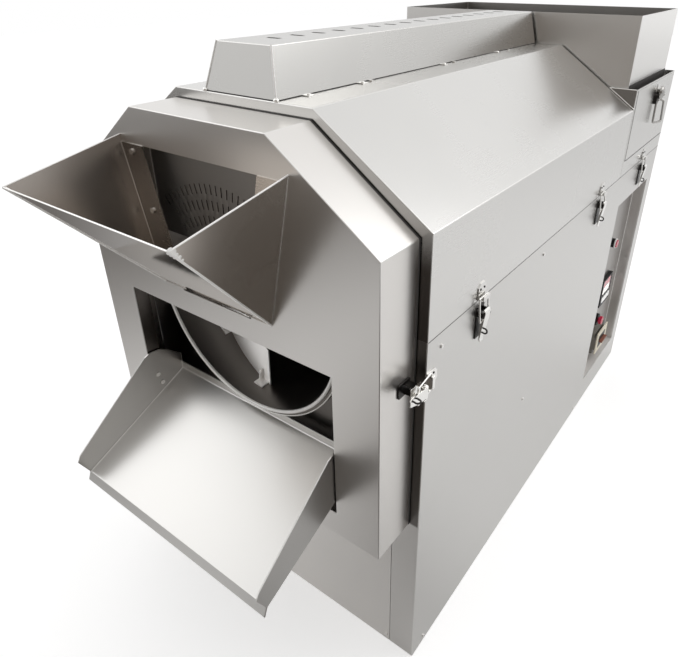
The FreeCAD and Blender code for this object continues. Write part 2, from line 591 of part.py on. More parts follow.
# Red signal lamp
lamp = keep(join("indicator_lamp", [
    solid_cyl("lamp_ring", "X", pan_back, fy("lamp_y"), d("lamp_z"), d("lamp_r"), d("lamp_len")),
    solid_cyl("lamp_barrel", "X", pan_back - d("lamp_barrel_len"), fy("lamp_y"), d("lamp_z"),
              d("lamp_barrel_r"), d("lamp_barrel_len") + d("seam_gap"))]), "indicator_lamp")
lens = Piece("lamp_lens")
lens.disc("X", fy("lamp_y"), d("lamp_z"), d("lens_r"), pan_back + d("lamp_len"),
          pan_back + d("lamp_len") + d("lens_t"))

# Stop button collar and its sprung red cap
collar = Piece("stop_button_base")
sy, sz = fy("stop_y"), d("stop_z")
collar.disc("X", sy, sz, d("stop_base_r"), pan_back, pan_back + d("stop_base_t"))
collar.disc("X", sy, sz, d("stop_base_r") - T, pan_back - d("stop_barrel_len"), pan_back + d("seam_gap"))
collar.cut("X", [("circle", sy, sz, d("stop_stem_r") + d("run_gap"))],
           pan_back - d("stop_base_t") * 2, pan_back + d("stop_base_t") + d("over"))
stop_face = pan_back + d("stop_base_t") + d("stop_travel") + d("clear_gap")
stop = keep(join("stop_button", [
    solid_cyl("stop_cap", "X", stop_face, sy, sz, d("stop_cap_r"), d("stop_cap_t")),
    solid_cyl("stop_stem", "X", pan_back - d("stop_base_t"), sy, sz, d("stop_stem_r"),
              stop_face - pan_back + d("stop_base_t") + d("seam_gap"))]), "stop_button")

# Breaker block with its toggle
by, bz = fy("brk_y"), d("brk_z")
brk = Piece("breaker")
brk.pad("X", [rect(by - d("brk_half_y"), by + d("brk_half_y"), bz - d("brk_half_z"), bz + d("brk_half_z"))],
        pan_back, pan_back + d("brk_out"))
brk.pad("X", [rect(by - d("brk_half_y") + T, by + d("brk_half_y") - T, bz - d("brk_half_z") + T,
                   bz + d("brk_half_z") - T)], pan_back - d("brk_back"), pan_back + d("seam_gap"))
brk.pad("X", [rect(by - d("brk_half_y"), by + d("brk_half_y"), bz - d("brk_nose_half"),
                   bz + d("brk_nose_half"))], pan_back + d("brk_out") - d("seam_gap"),
        pan_back + d("brk_nose_out"))
th = d("tog_half")
tog_x = pan_back + d("brk_nose_out") - d("tog_r") + T
brk.cut("Y", [("circle", tog_x, bz, d("tog_r") + d("clear_gap"))], by - th - d("clear_gap"),
        by + th + d("clear_gap"))
tog = keep(join("breaker_toggle", [
    solid_cyl("toggle_roll", "Y", tog_x, by - th, bz, d("tog_r"), th * 2),
    solid_box("toggle_bar", tog_x, tog_x + d("tog_r") + d("tog_len"), by - th, by + th,
              bz - d("tog_t") / 2, bz + d("tog_t") / 2)]), "breaker_toggle")

# Drum: shell with rolled rim, rear disc, hub shaft and helical flight
dr, dw = d("drum_r"), d("drum_wall")
drum = Piece("drum_shell")
drum.pad("Y", [("circle", ZERO, axis, dr), ("circle", ZERO, axis, dr - dw)], ahead("drum_front"),
         fy("drum_rear"))
rim0 = ahead("drum_front") + d("rim_back")
drum.pad("Y", [("circle", ZERO, axis, dr + d("rim_w")), ("circle", ZERO, axis, dr - dw / 2)], rim0,
         rim0 + d("rim_thick"))
disc = Piece("drum_rear_disc")
disc.pad("Y", [("circle", ZERO, axis, dr - dw)], fy("drum_rear") - d("disc_t"), fy("drum_rear"))
shaft_y1 = fy("drum_rear") + d("hub_t") + d("shaft_len")
shaft = keep(join("drum_shaft", [
    solid_cyl("hub", "Y", ZERO, fy("drum_rear"), axis, d("hub_r"), d("hub_t")),
    solid_cyl("shaft_bar", "Y", ZERO, fy("drum_rear"), axis, d("shaft_r"), d("hub_t") + d("shaft_len"))]),
    "drum_shaft")
flight = Piece("drum_flight")
fsk = sketch(flight.body, "XZ_Plane", [rect(d("flight_in_r"), dr - dw, ZERO, d("flight_t"))], ZERO)
screw = flight.body.newObject("PartDesign::AdditiveHelix", "flight_helix")
screw.Profile = fsk
screw.ReferenceAxis = (fsk, ["V_Axis"])
screw.Mode = 1
screw.setExpression("Pitch", d("flight_pitch").t)
screw.setExpression("Turns", d("flight_turns_share").t)
screw.LeftHanded = False
fsk.Visibility = False
doc.recompute()
for deg in (5, 44.5):
    rise = d("flight_pitch") * (deg / 360.0)
    foot, tab = [], []
    for rr, da in ((dr - dw, -1), (dr - dw, 1), (dr - dw - d("clip_t"), 1), (dr - dw - d("clip_t"), -1)):
        a = math.radians(deg + 3 * da)
        foot.append((rr * math.cos(a), rr * math.sin(a)))
    for rr, da in ((dr - dw, 2), (dr - dw, 3), (dr - dw - d("clip_h"), 3), (dr - dw - d("clip_h"), 2)):
        a = math.radians(deg + da)
        tab.append((rr * math.cos(a), rr * math.sin(a)))
    flight.pad("Z", [foot], rise - d("clip_len"), rise + d("flight_t") / 2)
    flight.pad("Z", [tab], rise - d("clip_h") / 4, rise + d("flight_t"))
flight.body.Placement = FreeCAD.Placement(V(0, 0, 0), FreeCAD.Rotation(V(1, 0, 0), -90).multiply(
    FreeCAD.Rotation(V(0, 0, 1), 92)))
bind(flight.body, "Placement.Base.y", fy("flight_start"))
bind(flight.body, "Placement.Base.z", axis)
doc.recompute()

# Front support rollers on pins welded to the front sheet
rd = dr + d("roller_r") + d("clear_gap")
pins = []
for sx, nm in ((-1, "support_roller_left"), (1, "support_roller_right")):
    rx = rd * sine(d("roller_deg")) * sx
    rz = axis - rd * cosine(d("roller_deg"))
    y0 = fy("roller_start")
    hub = Piece(nm)
    hub.pad("Y", [("circle", rx, rz, d("roller_r")), ("circle", rx, rz, d("pin_r") + d("run_gap"))],
            y0, y0 + d("roller_len"))
    pins.append(join("roller_pin", [
        solid_cyl("pad_disc", "Y", rx, FRONT + T, rz, d("pad_r"), d("pad_t")),
        solid_cyl("pin_step", "Y", rx, FRONT + T, rz, d("pin_end_r"), y0 - FRONT - T - d("side_gap")),
        solid_cyl("pin_bar", "Y", rx, FRONT + T, rz, d("pin_r"),
                  y0 + d("roller_len") + d("side_gap") + d("pin_end_t") - FRONT - T),
        solid_cyl("pin_end", "Y", rx, y0 + d("roller_len") + d("side_gap"), rz, d("pin_end_r"),
                  d("pin_end_t"))]))
keep(group("roller_pins", pins), "roller_pins")

# Rear flange bearing and its bolts
bearing = Piece("bearing_casting", keep=False)
bearing.disc("Y", ZERO, axis, d("bearing_r"), bulk_back, bulk_back + d("bearing_flange_t"))
bearing.disc("Y", ZERO, axis, d("bearing_boss_r"), bulk_back + d("bearing_flange_t") - d("seam_gap"),
             bulk_back + d("bearing_len"))
bearing.cut("Y", [("circle", ZERO, axis, d("shaft_r") + d("run_gap"))], bulk_back - d("over"),
            bulk_back + d("bearing_len") + d("over"))
bolts = []
for k in range(4):
    a = math.radians(45 + 90 * k)
    bx = d("bolt_circle") * math.cos(a)
    bzz = axis + d("bolt_circle") * math.sin(a)
    bolts.append(solid_cyl("bolt_head", "Y", bx, bulk_back + d("bearing_flange_t"), bzz, d("bolt_head_r") - T,
                           d("bolt_head_t")))
keep(group("rear_bearing", [bearing.body] + bolts), "rear_bearing")

# Gear unit on the shelf, bored for the drum shaft
gh = d("gearbox_half")
gear = Piece("gearbox")
gear.pad("Y", [rect(-gh, gh, axis - gh, axis + gh)], fy("gearbox_start"),
         fy("gearbox_start") + d("gearbox_len"))
gear.cut("Y", [("circle", ZERO, axis, d("shaft_r") + d("run_gap"))], fy("gearbox_start") - d("over"),
         fy("gearbox_start") + d("gearbox_len") + d("over"))
gm = fy("gearbox_start") + d("gearbox_len") / 2
mr = d("motor_r")
motor_parts = [solid_cyl("motor_flange", "X", -gh - d("motor_flange_t"), gm, axis, mr, d("motor_flange_t")),
               solid_cyl("motor_core", "X", -gh - d("motor_len"), gm, axis, mr - d("fin_depth"),
                         d("motor_len")),
               solid_cyl("fan_cowl", "X", -gh - d("motor_len") - d("over"), gm, axis, mr, d("cowl_len"))]
for k in range(10):
    motor_parts.append(solid_cyl("motor_fin", "X", -gh - d("motor_flange_t") - d("fin_pitch") * (k + 1), gm,
                                 axis, mr, d("fin_t")))
motor = keep(join("drive_motor", motor_parts), "drive_motor")

# Rear deck ring above the seam and the open flue box standing in it
deck = Piece("rear_deck")
dy0, dz0, dz1 = fy("chamber_len"), d("seam_z"), d("deck_top_z")
deck.pad("Z", [rect(-HALF, HALF, dy0, REAR), rect(-HALF + T, HALF - T, dy0 + T, REAR - T)], dz0, dz1)
for y0 in (fy("rail_start"), fy("rail_last")):
    deck.box(-HALF + d("seam_gap"), HALF - d("seam_gap"), y0, y0 + d("rail_w"), d("box_floor_z") - d("rail_h"),
             d("box_floor_z"))
flue = Piece("flue_box")
bh = d("box_half")
flue.box(-bh, bh, fy("box_front"), fy("box_rear"), d("box_floor_z"), d("box_top_z"))
flue.cut("Z", [rect(-bh + T, bh - T, fy("box_front") + T, fy("box_rear") - T)], d("box_floor_z") + T,
         d("box_top_z") + d("over"))

# Hood: eight-sided shell with end sheets, arch liner and blanket
hood = Piece("hood_shell")
hy1 = fy("chamber_len") - d("slide_gap")
hood_out = [(-HALF, d("seam_z")), (HALF, d("seam_z")), (HALF, d("shoulder_z")),
            (d("crown_half"), d("crown_z")), (-d("crown_half"), d("crown_z")), (-HALF, d("shoulder_z"))]
tt = T * 0.45
hood_in = [(-HALF + T, d("seam_z") - d("over")), (HALF - T, d("seam_z") - d("over")),
           (HALF - T, d("shoulder_z") - tt), (d("crown_half") - tt, d("crown_z") - T),
           (-d("crown_half") + tt, d("crown_z") - T), (-HALF + T, d("shoulder_z") - tt)]
hood.pad("Y", [hood_out], FRONT, hy1)
hood.cut("Y", [hood_in], FRONT + T, hy1 - T)
hood.cut("Y", [("circle", ZERO, axis, dr + d("mouth_gap"))], FRONT - d("over"), FRONT + T + d("over"))
hood.cut("Z", [rect(-d("vent_half"), d("vent_half"), fy("vent_start"), fy("vent_end"))],
         d("crown_z") - T - d("over"), d("crown_z") + d("over"))
arch_ring("hood_liner", d("liner_r"), d("liner_r") + T, FRONT + T, hy1 - T, True, False, True)
arch_ring("hood_insulation", d("liner_r") + T, d("liner_r") + T + d("blanket_t"), FRONT + T, hy1 - T,
          True, False, True)

# Tapered duct on the hood with a row of cross slots
duct = Piece("top_duct")
dl, dt_ = d("duct_low_half"), d("duct_top_half")
cz, tz = d("crown_z"), d("duct_top_z")
duct.pad("Y", [[(-dl, cz), (dl, cz), (dt_, tz), (-dt_, tz)]], fy("duct_low_y"), hy1)
duct.cut("Y", [[(-dl + T, cz - d("seam_gap")), (dl - T, cz - d("seam_gap")), (dt_ - T, tz - T),
                (-dt_ + T, tz - T)]], fy("duct_top_y") + T, hy1 - T)
duct.cut("X", [[(fy("duct_low_y"), cz), (fy("duct_top_y"), tz), (fy("duct_low_y") - d("over"), tz + d("over")),
                (fy("duct_low_y") - d("over"), cz)]], -dl - d("over"), dl + d("over"))
slots = []
for k in range(16):
    yc = fy("duct_slot_y") + d("duct_slot_pitch") * k
    slots.append(rect(-d("duct_slot_x"), -d("duct_slot_x") + d("duct_slot_len"), yc - d("duct_slot_w") / 2,
                      yc + d("duct_slot_w") / 2))
duct.cut("Z", slots, tz - T - d("over"), tz + d("over"))
dots = []
dot_shares = (0.238, 0.54, 0.814)
for sx in (-1, 1):
    for share in dot_shares:
        dots.append(solid_cyl("dot", "Z", (dl + d("dot_r") + d("seam_gap")) * sx,
                              FRONT + d("chamber_len") * share, cz, d("dot_r"), d("dot_t")))
keep(group("duct_screws", dots), "duct_screws")

# Front cover box with feed cut-out and discharge mouth
cov = Piece("front_cover")
cy0, cy1 = ahead("cover_depth"), FRONT - d("cover_gap")
ch, cl = d("cover_half"), d("cover_low")
cov_out = [(-ch, cl), (ch, cl), (ch, d("cover_shoulder")), (d("cover_crown"), d("cover_top")),
           (-d("cover_crown"), d("cover_top")), (-ch, d("cover_shoulder"))]
cov_in = [(-ch + T, cl + T), (ch - T, cl + T), (ch - T, d("cover_shoulder") - tt),
          (d("cover_crown") - tt, d("cover_top") - T), (-d("cover_crown") + tt, d("cover_top") - T),
          (-ch + T, d("cover_shoulder") - tt)]
cov.pad("Y", [cov_out], cy0, cy1)
cov.cut("Y", [cov_in], cy0 + T, cy1 + d("over"))
mh = d("mouth_half")
mo, mi = rect(-mh - T, mh + T, d("mouth_low") - T, d("mouth_high") + T), rect(-mh, mh, d("mouth_low"),
                                                                             d("mouth_high"))
cov.pad("Y", [mo], cy0 + T / 2, cy0 + d("mouth_return"))
cov.cut("Y", [mi], cy0 - d("over"), cy0 + d("mouth_return") + d("over"))
cov.cut("Y", [[(-d("feed_low_half"), d("feed_low")), (d("feed_low_half"), d("feed_low")),
               (d("feed_high_half"), d("feed_high")), (-d("feed_high_half"), d("feed_high"))]],
        cy0 - d("over"), cy0 + T + d("over"))

# Slotted vent plate behind the feed cut-out, with side and top returns
vent = Piece("perforated_plate")
py1 = ahead("plate_y")
py0 = py1 - T
ph, pl, pz = d("plate_half"), d("plate_low"), d("plate_high")
vent.pad("Y", [rect(-ph, ph, pl, pz)], cy0 + T, py1)
vent.cut("Y", [rect(-ph + T, ph - T, pl - d("over"), pz - T)], cy0 + T - d("over"), py0)
ROWS = (("row_out", 3.33, 22), ("row_mid", 3.78, 19), ("row_in", 4.4, 16))
for alias, step, count in ROWS:
    loops = []
    for k in range(-(count // 2), count // 2 + 1):
        a = math.radians(90 + step * k)
        ca, sa = math.cos(a), math.sin(a)
        hl, hw = d("slot_long") / 2, d("slot_wide") / 2
        loop = []
        for u, v_ in ((-1, -1), (1, -1), (1, 1), (-1, 1)):
            loop.append(((d(alias) + hl * u) * ca - hw * v_ * sa,
                         axis + (d(alias) + hl * u) * sa + hw * v_ * ca))
        if min(p[1].n for p in loop) > pl.n + 3 and max(abs(p[0].n) for p in loop) < ph.n - 6:
            loops.append(loop)
    vent.cut("Y", loops, py0 - d("over") / 5, py1 + d("over"))


# Flat plate of any outline in space, thickened along its own normal
def slab(points, thick, toward):
    vs = [V(*p) for p in points]
    face = Part.Face(Part.makePolygon(vs + [vs[0]]))
    n = (vs[1] - vs[0]).cross(vs[2] - vs[0])
    n.normalize()
    if n.dot(V(*toward)) < 0:
        n = n * -1
    return face.extrude(n * thick)


# Feed hopper folded from slanted plates, screwed through its flanges
def val(alias):
    return d(alias).n


fr = FRONT.n
hopper = doc.addObject("Part::Feature", "feed_hopper")
yc0 = fr - val("cover_depth")
yh = fr - val("hop_front")
A, B, C = {}, {}, {}
for s in (-1, 1):
    A[s] = (s * val("hop_half"), yc0, val("hop_root_z"))
    B[s] = (s * val("hop_half"), yh, val("hop_lip_z"))
    C[s] = (s * val("hop_low_half"), yc0, val("hop_low_z"))
th_ = val("sheet_t")
pieces = [slab([B[-1], B[1], C[1], C[-1]], th_, (0, 1, 1))]
for s in (-1, 1):
    pieces.append(slab([A[s], B[s], C[s]], th_, (-s, 0, 0)))
    zt = val("hop_flange_top")
    k = (val("hop_half") - val("hop_low_half")) / (val("hop_root_z") - val("hop_low_z"))
    xt_ = val("hop_low_half") + k * (zt - val("hop_low_z"))
    fl = val("hop_flange")
    pieces.append(slab([(s * xt_, yc0, zt), C[s], (s * (val("hop_low_half") - fl), yc0, val("hop_low_z")),
                        (s * (xt_ - fl), yc0, zt)], th_, (0, -1, 0)))
cq = val("hop_chute_half")
behind = Part.makeBox(4 * val("hop_half"), val("cover_depth"), 2 * val("hop_root_z"),
                      V(-2 * val("hop_half"), yc0, 0))
pieces = [p.cut(behind) for p in pieces]
pieces.append(slab([(-cq, yc0, val("hop_low_z")), (cq, yc0, val("hop_low_z")),
                    (cq, fr - val("hop_chute_y"), val("hop_chute_z")),
                    (-cq, fr - val("hop_chute_y"), val("hop_chute_z"))], th_, (0, 0, 1)))
shape = pieces[0]
for p in pieces[1:]:
    shape = shape.fuse(p)
hopper.Shape = shape.removeSplitter()
hopper.Placement = FreeCAD.Placement()
keep(hopper, "feed_hopper")

# Discharge tray: sloping floor with side walls, back flange and drip lip
tray = Piece("discharge_tray")
slope = tangent(d("tray_deg"))
ty0, ty1 = ahead("tray_front"), ahead("tray_rear")
tz0 = d("tray_front_z")
tz1 = tz0 + (d("tray_front") - d("tray_rear")) * slope
tw = d("tray_half")
tray.pad("X", [[(ty0 + T, tz0 - T), (ty0, tz0), (ty1 - T, tz1 - T * slope), (ty1 - T, tz1 + d("tray_back_h")),
                (ty1, tz1 + d("tray_back_h")), (ty1, tz1 - T)]], -tw, tw)
tray.pad("X", [[(ty0, tz0), (ty0 - d("tray_lip_y"), tz0 - d("tray_lip_z")),
                (ty0 - d("tray_lip_y") + T, tz0 - d("tray_lip_z")), (ty0 + T, tz0 - T / 4)]], -tw, tw)
wall = [(ty0, tz0 - T / 4), (ahead("tray_tip_y") + d("tray_tip_cut") / 4, d("tray_tip_z") - d("tray_tip_cut")),
        (ahead("tray_tip_y") + d("tray_tip_cut"), d("tray_tip_z") + d("tray_tip_cut") / 2),
        (ahead("tray_shoulder_y"), d("tray_shoulder_z")), (ahead("tray_peak_y"), d("tray_peak_z")),
        (ahead("tray_peak_y") + (d("tray_peak_y") - d("tray_drop_y")) / 2, d("tray_peak_z") - T),
        (ahead("tray_drop_y"), d("tray_drop_z")), (ty1, d("tray_end_z")), (ty1, tz1 - T)]
tray.pad("X", [wall], -tw, -tw + T)
tray.pad("X", [wall], tw - T, tw)

# Screws of the hopper flanges and of the tray walls
cs = []
for sx in (-1, 1):
    for xa, za in (("hop_screw_x", "hop_screw_z"), ("hop_screw_low_x", "hop_screw_low_z")):
        cs.append(solid_cyl("flange_screw", "Y", d(xa) * sx, cy0 - T - d("screw_head_t"), d(za),
                            d("screw_head_r"), d("screw_head_t")))
    for k in (-1, 1):
        yq = ahead("tray_screw_y") - d("tray_screw_dy") / 2 * k
        zq = d("tray_screw_z") + d("tray_screw_dz") / 2 * k
        inner = tw - T - d("screw_head_t")
        gap = mh - tw
        if sx > 0:
            cs.append(solid_cyl("tray_screw", "X", inner, yq, zq, d("screw_head_r"), d("screw_head_t")))
            cs.append(solid_cyl("tray_washer", "X", tw, yq, zq, d("screw_head_r"), gap))
        else:
            cs.append(solid_cyl("tray_screw", "X", -inner - d("screw_head_t"), yq, zq, d("screw_head_r"),
                                d("screw_head_t")))
            cs.append(solid_cyl("tray_washer", "X", -mh, yq, zq, d("screw_head_r"), gap))
keep(group("cover_screws", cs), "cover_screws")

# Cover hinges on the left front edge
hx = -ch - d("hinge_in")
hyy = ahead("hinge_off")
third = d("hinge_len") / 3
kr, pr_, eg = d("knuckle_r"), d("hinge_pin_r"), d("knuckle_end_gap")
fixed_hinges, cover_leaves = [], []
for alias in ("hinge_low_z", "hinge_high_z"):
    z = d(alias)
    p = Piece("cover_hinge_leaf", keep=False)
    p.pad("Z", [rect(hx - kr + T, hx + kr - T / 2, FRONT - T, FRONT)], z, z + d("hinge_len"))
    for z0_ in (z, z + third * 2):
        p.disc("Z", hx, hyy, kr, z0_, z0_ + third)
        p.pad("Z", [rect(hx - kr, hx, hyy, FRONT - T / 2)], z0_, z0_ + third)
    p.disc("Z", hx, hyy, pr_, z, z + d("hinge_len"))
    fixed_hinges.append(p.body)
    q = Piece("cover_hinge_strap", keep=False)
    q.pad("Z", [rect(-ch - d("leaf_t"), -ch, hyy - d("leaf_w"), hyy - kr - T)], z, z + d("hinge_len"))
    q.pad("Z", [rect(hx, -ch, hyy - kr - T - d("seam_gap"), hyy - T)], z + third + eg, z + third * 2 - eg)
    q.disc("Z", hx, hyy, kr, z + third + eg, z + third * 2 - eg)
    q.cut("Z", [("circle", hx, hyy, pr_ + d("run_gap"))], z - d("over"), z + d("hinge_len") + d("over"))
    cover_leaves.append(q.body)
keep(group("cover_hinges", cover_leaves), "cover_hinges")

# Hood and deck hinges along the left seam
ax = -HALF - d("hood_axis_x")
sz_ = d("seam_z")
hood_leaves = []
lt = d("leaf_t")
deck_leaves = []
for alias, store in (("hood_hinge_a", hood_leaves), ("hood_hinge_b", hood_leaves),
                     ("deck_hinge_a", deck_leaves), ("deck_hinge_b", deck_leaves)):
    y = fy(alias)
    p = Piece("hood_hinge_leaf", keep=False)
    p.pad("Y", [rect(-HALF - lt, -HALF, sz_ - d("leaf_w"), sz_ - kr - T)], y, y + d("hinge_len"))
    for y0_ in (y, y + third * 2):
        p.disc("Y", ax, sz_, kr, y0_, y0_ + third)
        p.pad("Y", [rect(ax - kr + T, -HALF, sz_ - kr - T - d("seam_gap"), sz_ - T)], y0_, y0_ + third)
    p.disc("Y", ax, sz_, pr_, y, y + d("hinge_len"))
    fixed_hinges.append(p.body)
    q = Piece("hood_hinge_strap", keep=False)
    q.pad("Y", [rect(-HALF - lt, -HALF, sz_ + kr + T, sz_ + d("leaf_w"))], y, y + d("hinge_len"))
    q.pad("Y", [rect(ax - kr + T, -HALF, sz_ + T, sz_ + kr + T + d("seam_gap"))], y + third + eg,
          y + third * 2 - eg)
    q.disc("Y", ax, sz_, kr, y + third + eg, y + third * 2 - eg)
    q.cut("Y", [("circle", ax, sz_, pr_ + d("run_gap"))], y - d("over"), y + d("hinge_len") + d("over"))
    store.append(q.body)
keep(group("hinge_leaves", fixed_hinges), "hinge_leaves")


# Toggle latch parts in the latch's own axes: X out from the panel, Z toward the keeper
def place(body, x, y, z, turned):
    rot = FreeCAD.Rotation(V(1, 0, 0), -90) if turned else FreeCAD.Rotation()
    body.Placement = FreeCAD.Placement(V(0, 0, 0), rot)
    bind(body, "Placement.Base.x", x)
    bind(body, "Placement.Base.y", y)
    bind(body, "Placement.Base.z", z)


def latch_base(name, standoff):
    p = Piece(name, keep=False)
    bhf = d("latch_base_half")
    p.box(ZERO, d("latch_base_t"), -bhf, bhf, -d("latch_base_low"), d("latch_base_high"))
    e = d("latch_ear")
    pw = d("latch_pin_w")
    for s in (-1, 1):
        a, b = (bhf - T, bhf) if s > 0 else (-bhf, -bhf + T)
        p.pad("Y", [rect(d("latch_base_t") - d("seam_gap"), pw + e - d("seam_gap") * 2, -e, e)], a, b)
    p.disc("Y", pw, ZERO, d("latch_pin_r"), -bhf, bhf)
    if standoff is not None:
        p.box(-standoff, d("seam_gap"), -bhf, bhf, -d("latch_base_low"), d("latch_base_high"))
    return p.body


def latch_lever(name):
    p = Piece(name)
    fh, ft = d("latch_face_half"), d("latch_face_t")
    top, low = d("latch_face_high"), d("latch_face_low")
    xo, xi = d("latch_face_out"), d("latch_face_in")
    p.pad("Y", [[(xo - ft, top), (xo, top), (xi, -low), (xi - ft, -low)]], -fh, fh)
    pw = d("latch_pin_w")
    for s in (-1, 1):
        a, b = (fh - T, fh) if s > 0 else (-fh, -fh + T)
        p.pad("Y", [[(pw - d("latch_ear"), d("latch_ear")), (xo - ft / 2, d("latch_ear")),
                     (xi - ft / 2 + d("seam_gap") * 2, -low * 0.75),
                     (d("latch_base_t") + d("seam_gap"), -low * 0.75),
                     (d("latch_base_t") + d("seam_gap"), -d("wire_pin_u") - d("latch_ear"))]], a, b)
    p.cut("Y", [("circle", pw, ZERO, d("latch_pin_r") + d("run_gap"))], -fh - d("over"), fh + d("over"))
    p.cut("Y", [("circle", d("wire_pin_w"), -d("wire_pin_u"), d("wire_r") + d("run_gap"))],
          -fh - d("over"), fh + d("over"))
    return p


def latch_bail(name, pin_w, pin_u, bar_w, bar_u):
    wr, wh = d("wire_r"), d("wire_half")
    parts = []
    for s in (-1, 1):
        inner = d("latch_face_half") - T
        start = inner if s > 0 else -wh
        parts.append(solid_cyl("bail_end", "Y", pin_w, start, pin_u, wr, wh - inner))
        arm = doc.addObject("Part::Cylinder", "bail_arm")
        du, dwid = bar_u - pin_u, bar_w - pin_w
        arm.Placement = FreeCAD.Placement(V(0, 0, 0), FreeCAD.Rotation(V(0, 1, 0), math.degrees(
            math.atan2(dwid.n, du.n))))
        bind(arm, "Radius", wr)
        length = Len(math.hypot(du.n, dwid.n), "sqrt(%s ^ 2 + %s ^ 2)" % (du.t, dwid.t))
        bind(arm, "Height", length)
        bind(arm, "Placement.Base.x", pin_w)
        bind(arm, "Placement.Base.y", wh * s)
        bind(arm, "Placement.Base.z", pin_u)
        parts.append(arm)
        for bx_, bu_ in ((pin_w, pin_u), (bar_w, bar_u)):
            ball = doc.addObject("Part::Sphere", "bail_bend")
            bind(ball, "Radius", wr)
            bind(ball, "Placement.Base.x", bx_)
            bind(ball, "Placement.Base.y", wh * s)
            bind(ball, "Placement.Base.z", bu_)
            parts.append(ball)
    parts.append(solid_cyl("bail_bar", "Y", bar_w, -wh, bar_u, wr, wh * 2))
    return join(name, parts)


def latch_keeper(name):
    p = Piece(name, keep=False)
    kf, kt, kh = d("keep_floor"), d("keep_top"), d("keep_half")
    bt = d("latch_base_t")
    p.pad("X", [[(-kh, kf), (kh, kf), (kh, kt - kh / 2), (kh / 2, kt), (-kh / 2, kt), (-kh, kt - kh / 2)]],
          ZERO, bt)
    lip = kh - T
    p.box(bt - d("seam_gap"), d("keep_lip_out"), -lip, lip, kf, kf + T)
    p.box(d("keep_lip_in"), d("keep_lip_out"), -lip, lip, kf, d("keep_lip_high"))
    return p.body


pin_set = (d("wire_pin_w"), -d("wire_pin_u"), d("wire_bar_w"), d("wire_bar_u"))
bases, deck_keepers, hood_keepers = [], [], []
for nm, ya, store in (("front_latch", "latch_one_y", hood_keepers), ("rear_latch", "latch_two_y", hood_keepers),
                      ("deck_latch", "latch_three_y", deck_keepers)):
    b = latch_base(nm + "_base", None)
    place(b, HALF, fy(ya), d("latch_z"), False)
    bases.append(b)
    lv = latch_lever(nm + "_lever")
    place(lv.body, HALF, fy(ya), d("latch_z"), False)
    bl = latch_bail(nm + "_bail", *pin_set)
    place(bl, HALF, fy(ya), d("latch_z"), False)
    keep(bl, nm + "_bail")
    kp = latch_keeper(nm + "_keeper")
    place(kp, HALF, fy(ya), d("latch_z"), False)
    store.append(kp)

# The cover latch lies on its side and clips rearward onto the body
cly = ahead("cover_latch_y")
cb_ = latch_base("cover_latch_base", HALF - ch)
place(cb_, HALF, cly, d("cover_latch_z"), True)
keep(cb_, "cover_latch_base")
lv = latch_lever("cover_latch_lever")
place(lv.body, HALF, cly, d("cover_latch_z"), True)
bl = latch_bail("cover_latch_bail", *pin_set)
place(bl, HALF, cly, d("cover_latch_z"), True)
keep(bl, "cover_latch_bail")
kp = latch_keeper("cover_keeper")
place(kp, HALF, cly, d("cover_latch_z"), True)
keep(kp, "cover_keeper")

# Flue latch: plate with dome and a bail that hangs free
fl_p = Piece("flue_latch_plate", keep=False)
bhf = d("latch_base_half")
fl_p.box(HALF, HALF + T, fy("flue_latch_y") - bhf, fy("flue_latch_y") + bhf, d("flue_latch_z"),
         d("flue_latch_z") + d("flue_plate_h"))
fl_p.disc("X", fy("flue_latch_y"), d("flue_latch_z") + d("flue_plate_h") * 0.62, d("flue_dome_r"), HALF + T / 2,
          HALF + T + d("flue_dome_t"))
fl_p.disc("Y", HALF + d("flue_pin_w"), d("flue_latch_z") + d("latch_ear"), d("latch_ear"),
          fy("flue_latch_y") - d("latch_face_half") + T, fy("flue_latch_y") + d("latch_face_half") - T)
flue_bail = latch_bail("flue_latch_bail", d("flue_pin_w"), d("latch_ear"), d("flue_pin_w") - T / 2,
                       -d("flue_drop"))
place(flue_bail, HALF, fy("flue_latch_y"), d("flue_latch_z"), False)
keep(flue_bail, "flue_latch_bail")
keep(group("latch_bases", bases), "latch_bases")
keep(group("deck_hardware", deck_leaves + deck_keepers + [fl_p.body]), "deck_hardware")
keep(group("hood_hardware", hood_leaves + hood_keepers), "hood_hardware")

# Screws of the side and lower front panels
ps = []
sxn = d("panel_screw_in")
side_screw_shares = ((0.044, 0.965), (0.468, 0.965), (0.468, 0.488), (0.984, 0.02), (0.044, 0.02))
for along_share, up_share in side_screw_shares:
    ps.append(solid_cyl("side_screw", "X", HALF, FRONT + d("chamber_len") * along_share,
                        d("seam_z") * up_share, d("dot_r"), d("dot_t")))
for sx in (-1, 1):
    for zz in (sxn, d("low_panel_top") - sxn):
        ps.append(solid_cyl("front_screw", "Y", (d("low_panel_half") - sxn / 2) * sx, FRONT - d("dot_t"), zz,
                            d("dot_r"), d("dot_t")))
keep(group("panel_screws", ps), "panel_screws")

doc.recompute()

# Each object is checked before its solid is written
bad = []
for obj in doc.Objects:
    if "Invalid" in obj.State or "Error" in obj.State:
        bad.append(obj.Name)
if bad:
    raise RuntimeError("objects in error: " + ", ".join(bad))
os.makedirs("parts", exist_ok=True)
for obj in NODES:
    s = obj.Shape
    if s.isNull() or not s.isValid() or not s.Solids:
        raise RuntimeError("bad shape: " + obj.Label)
    s.exportStep("parts/%s.step" % obj.Label)
print("pieces", len(NODES))
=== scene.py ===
import bpy
import bmesh
from math import radians, pi
from mathutils import Matrix, Vector, Euler
import json


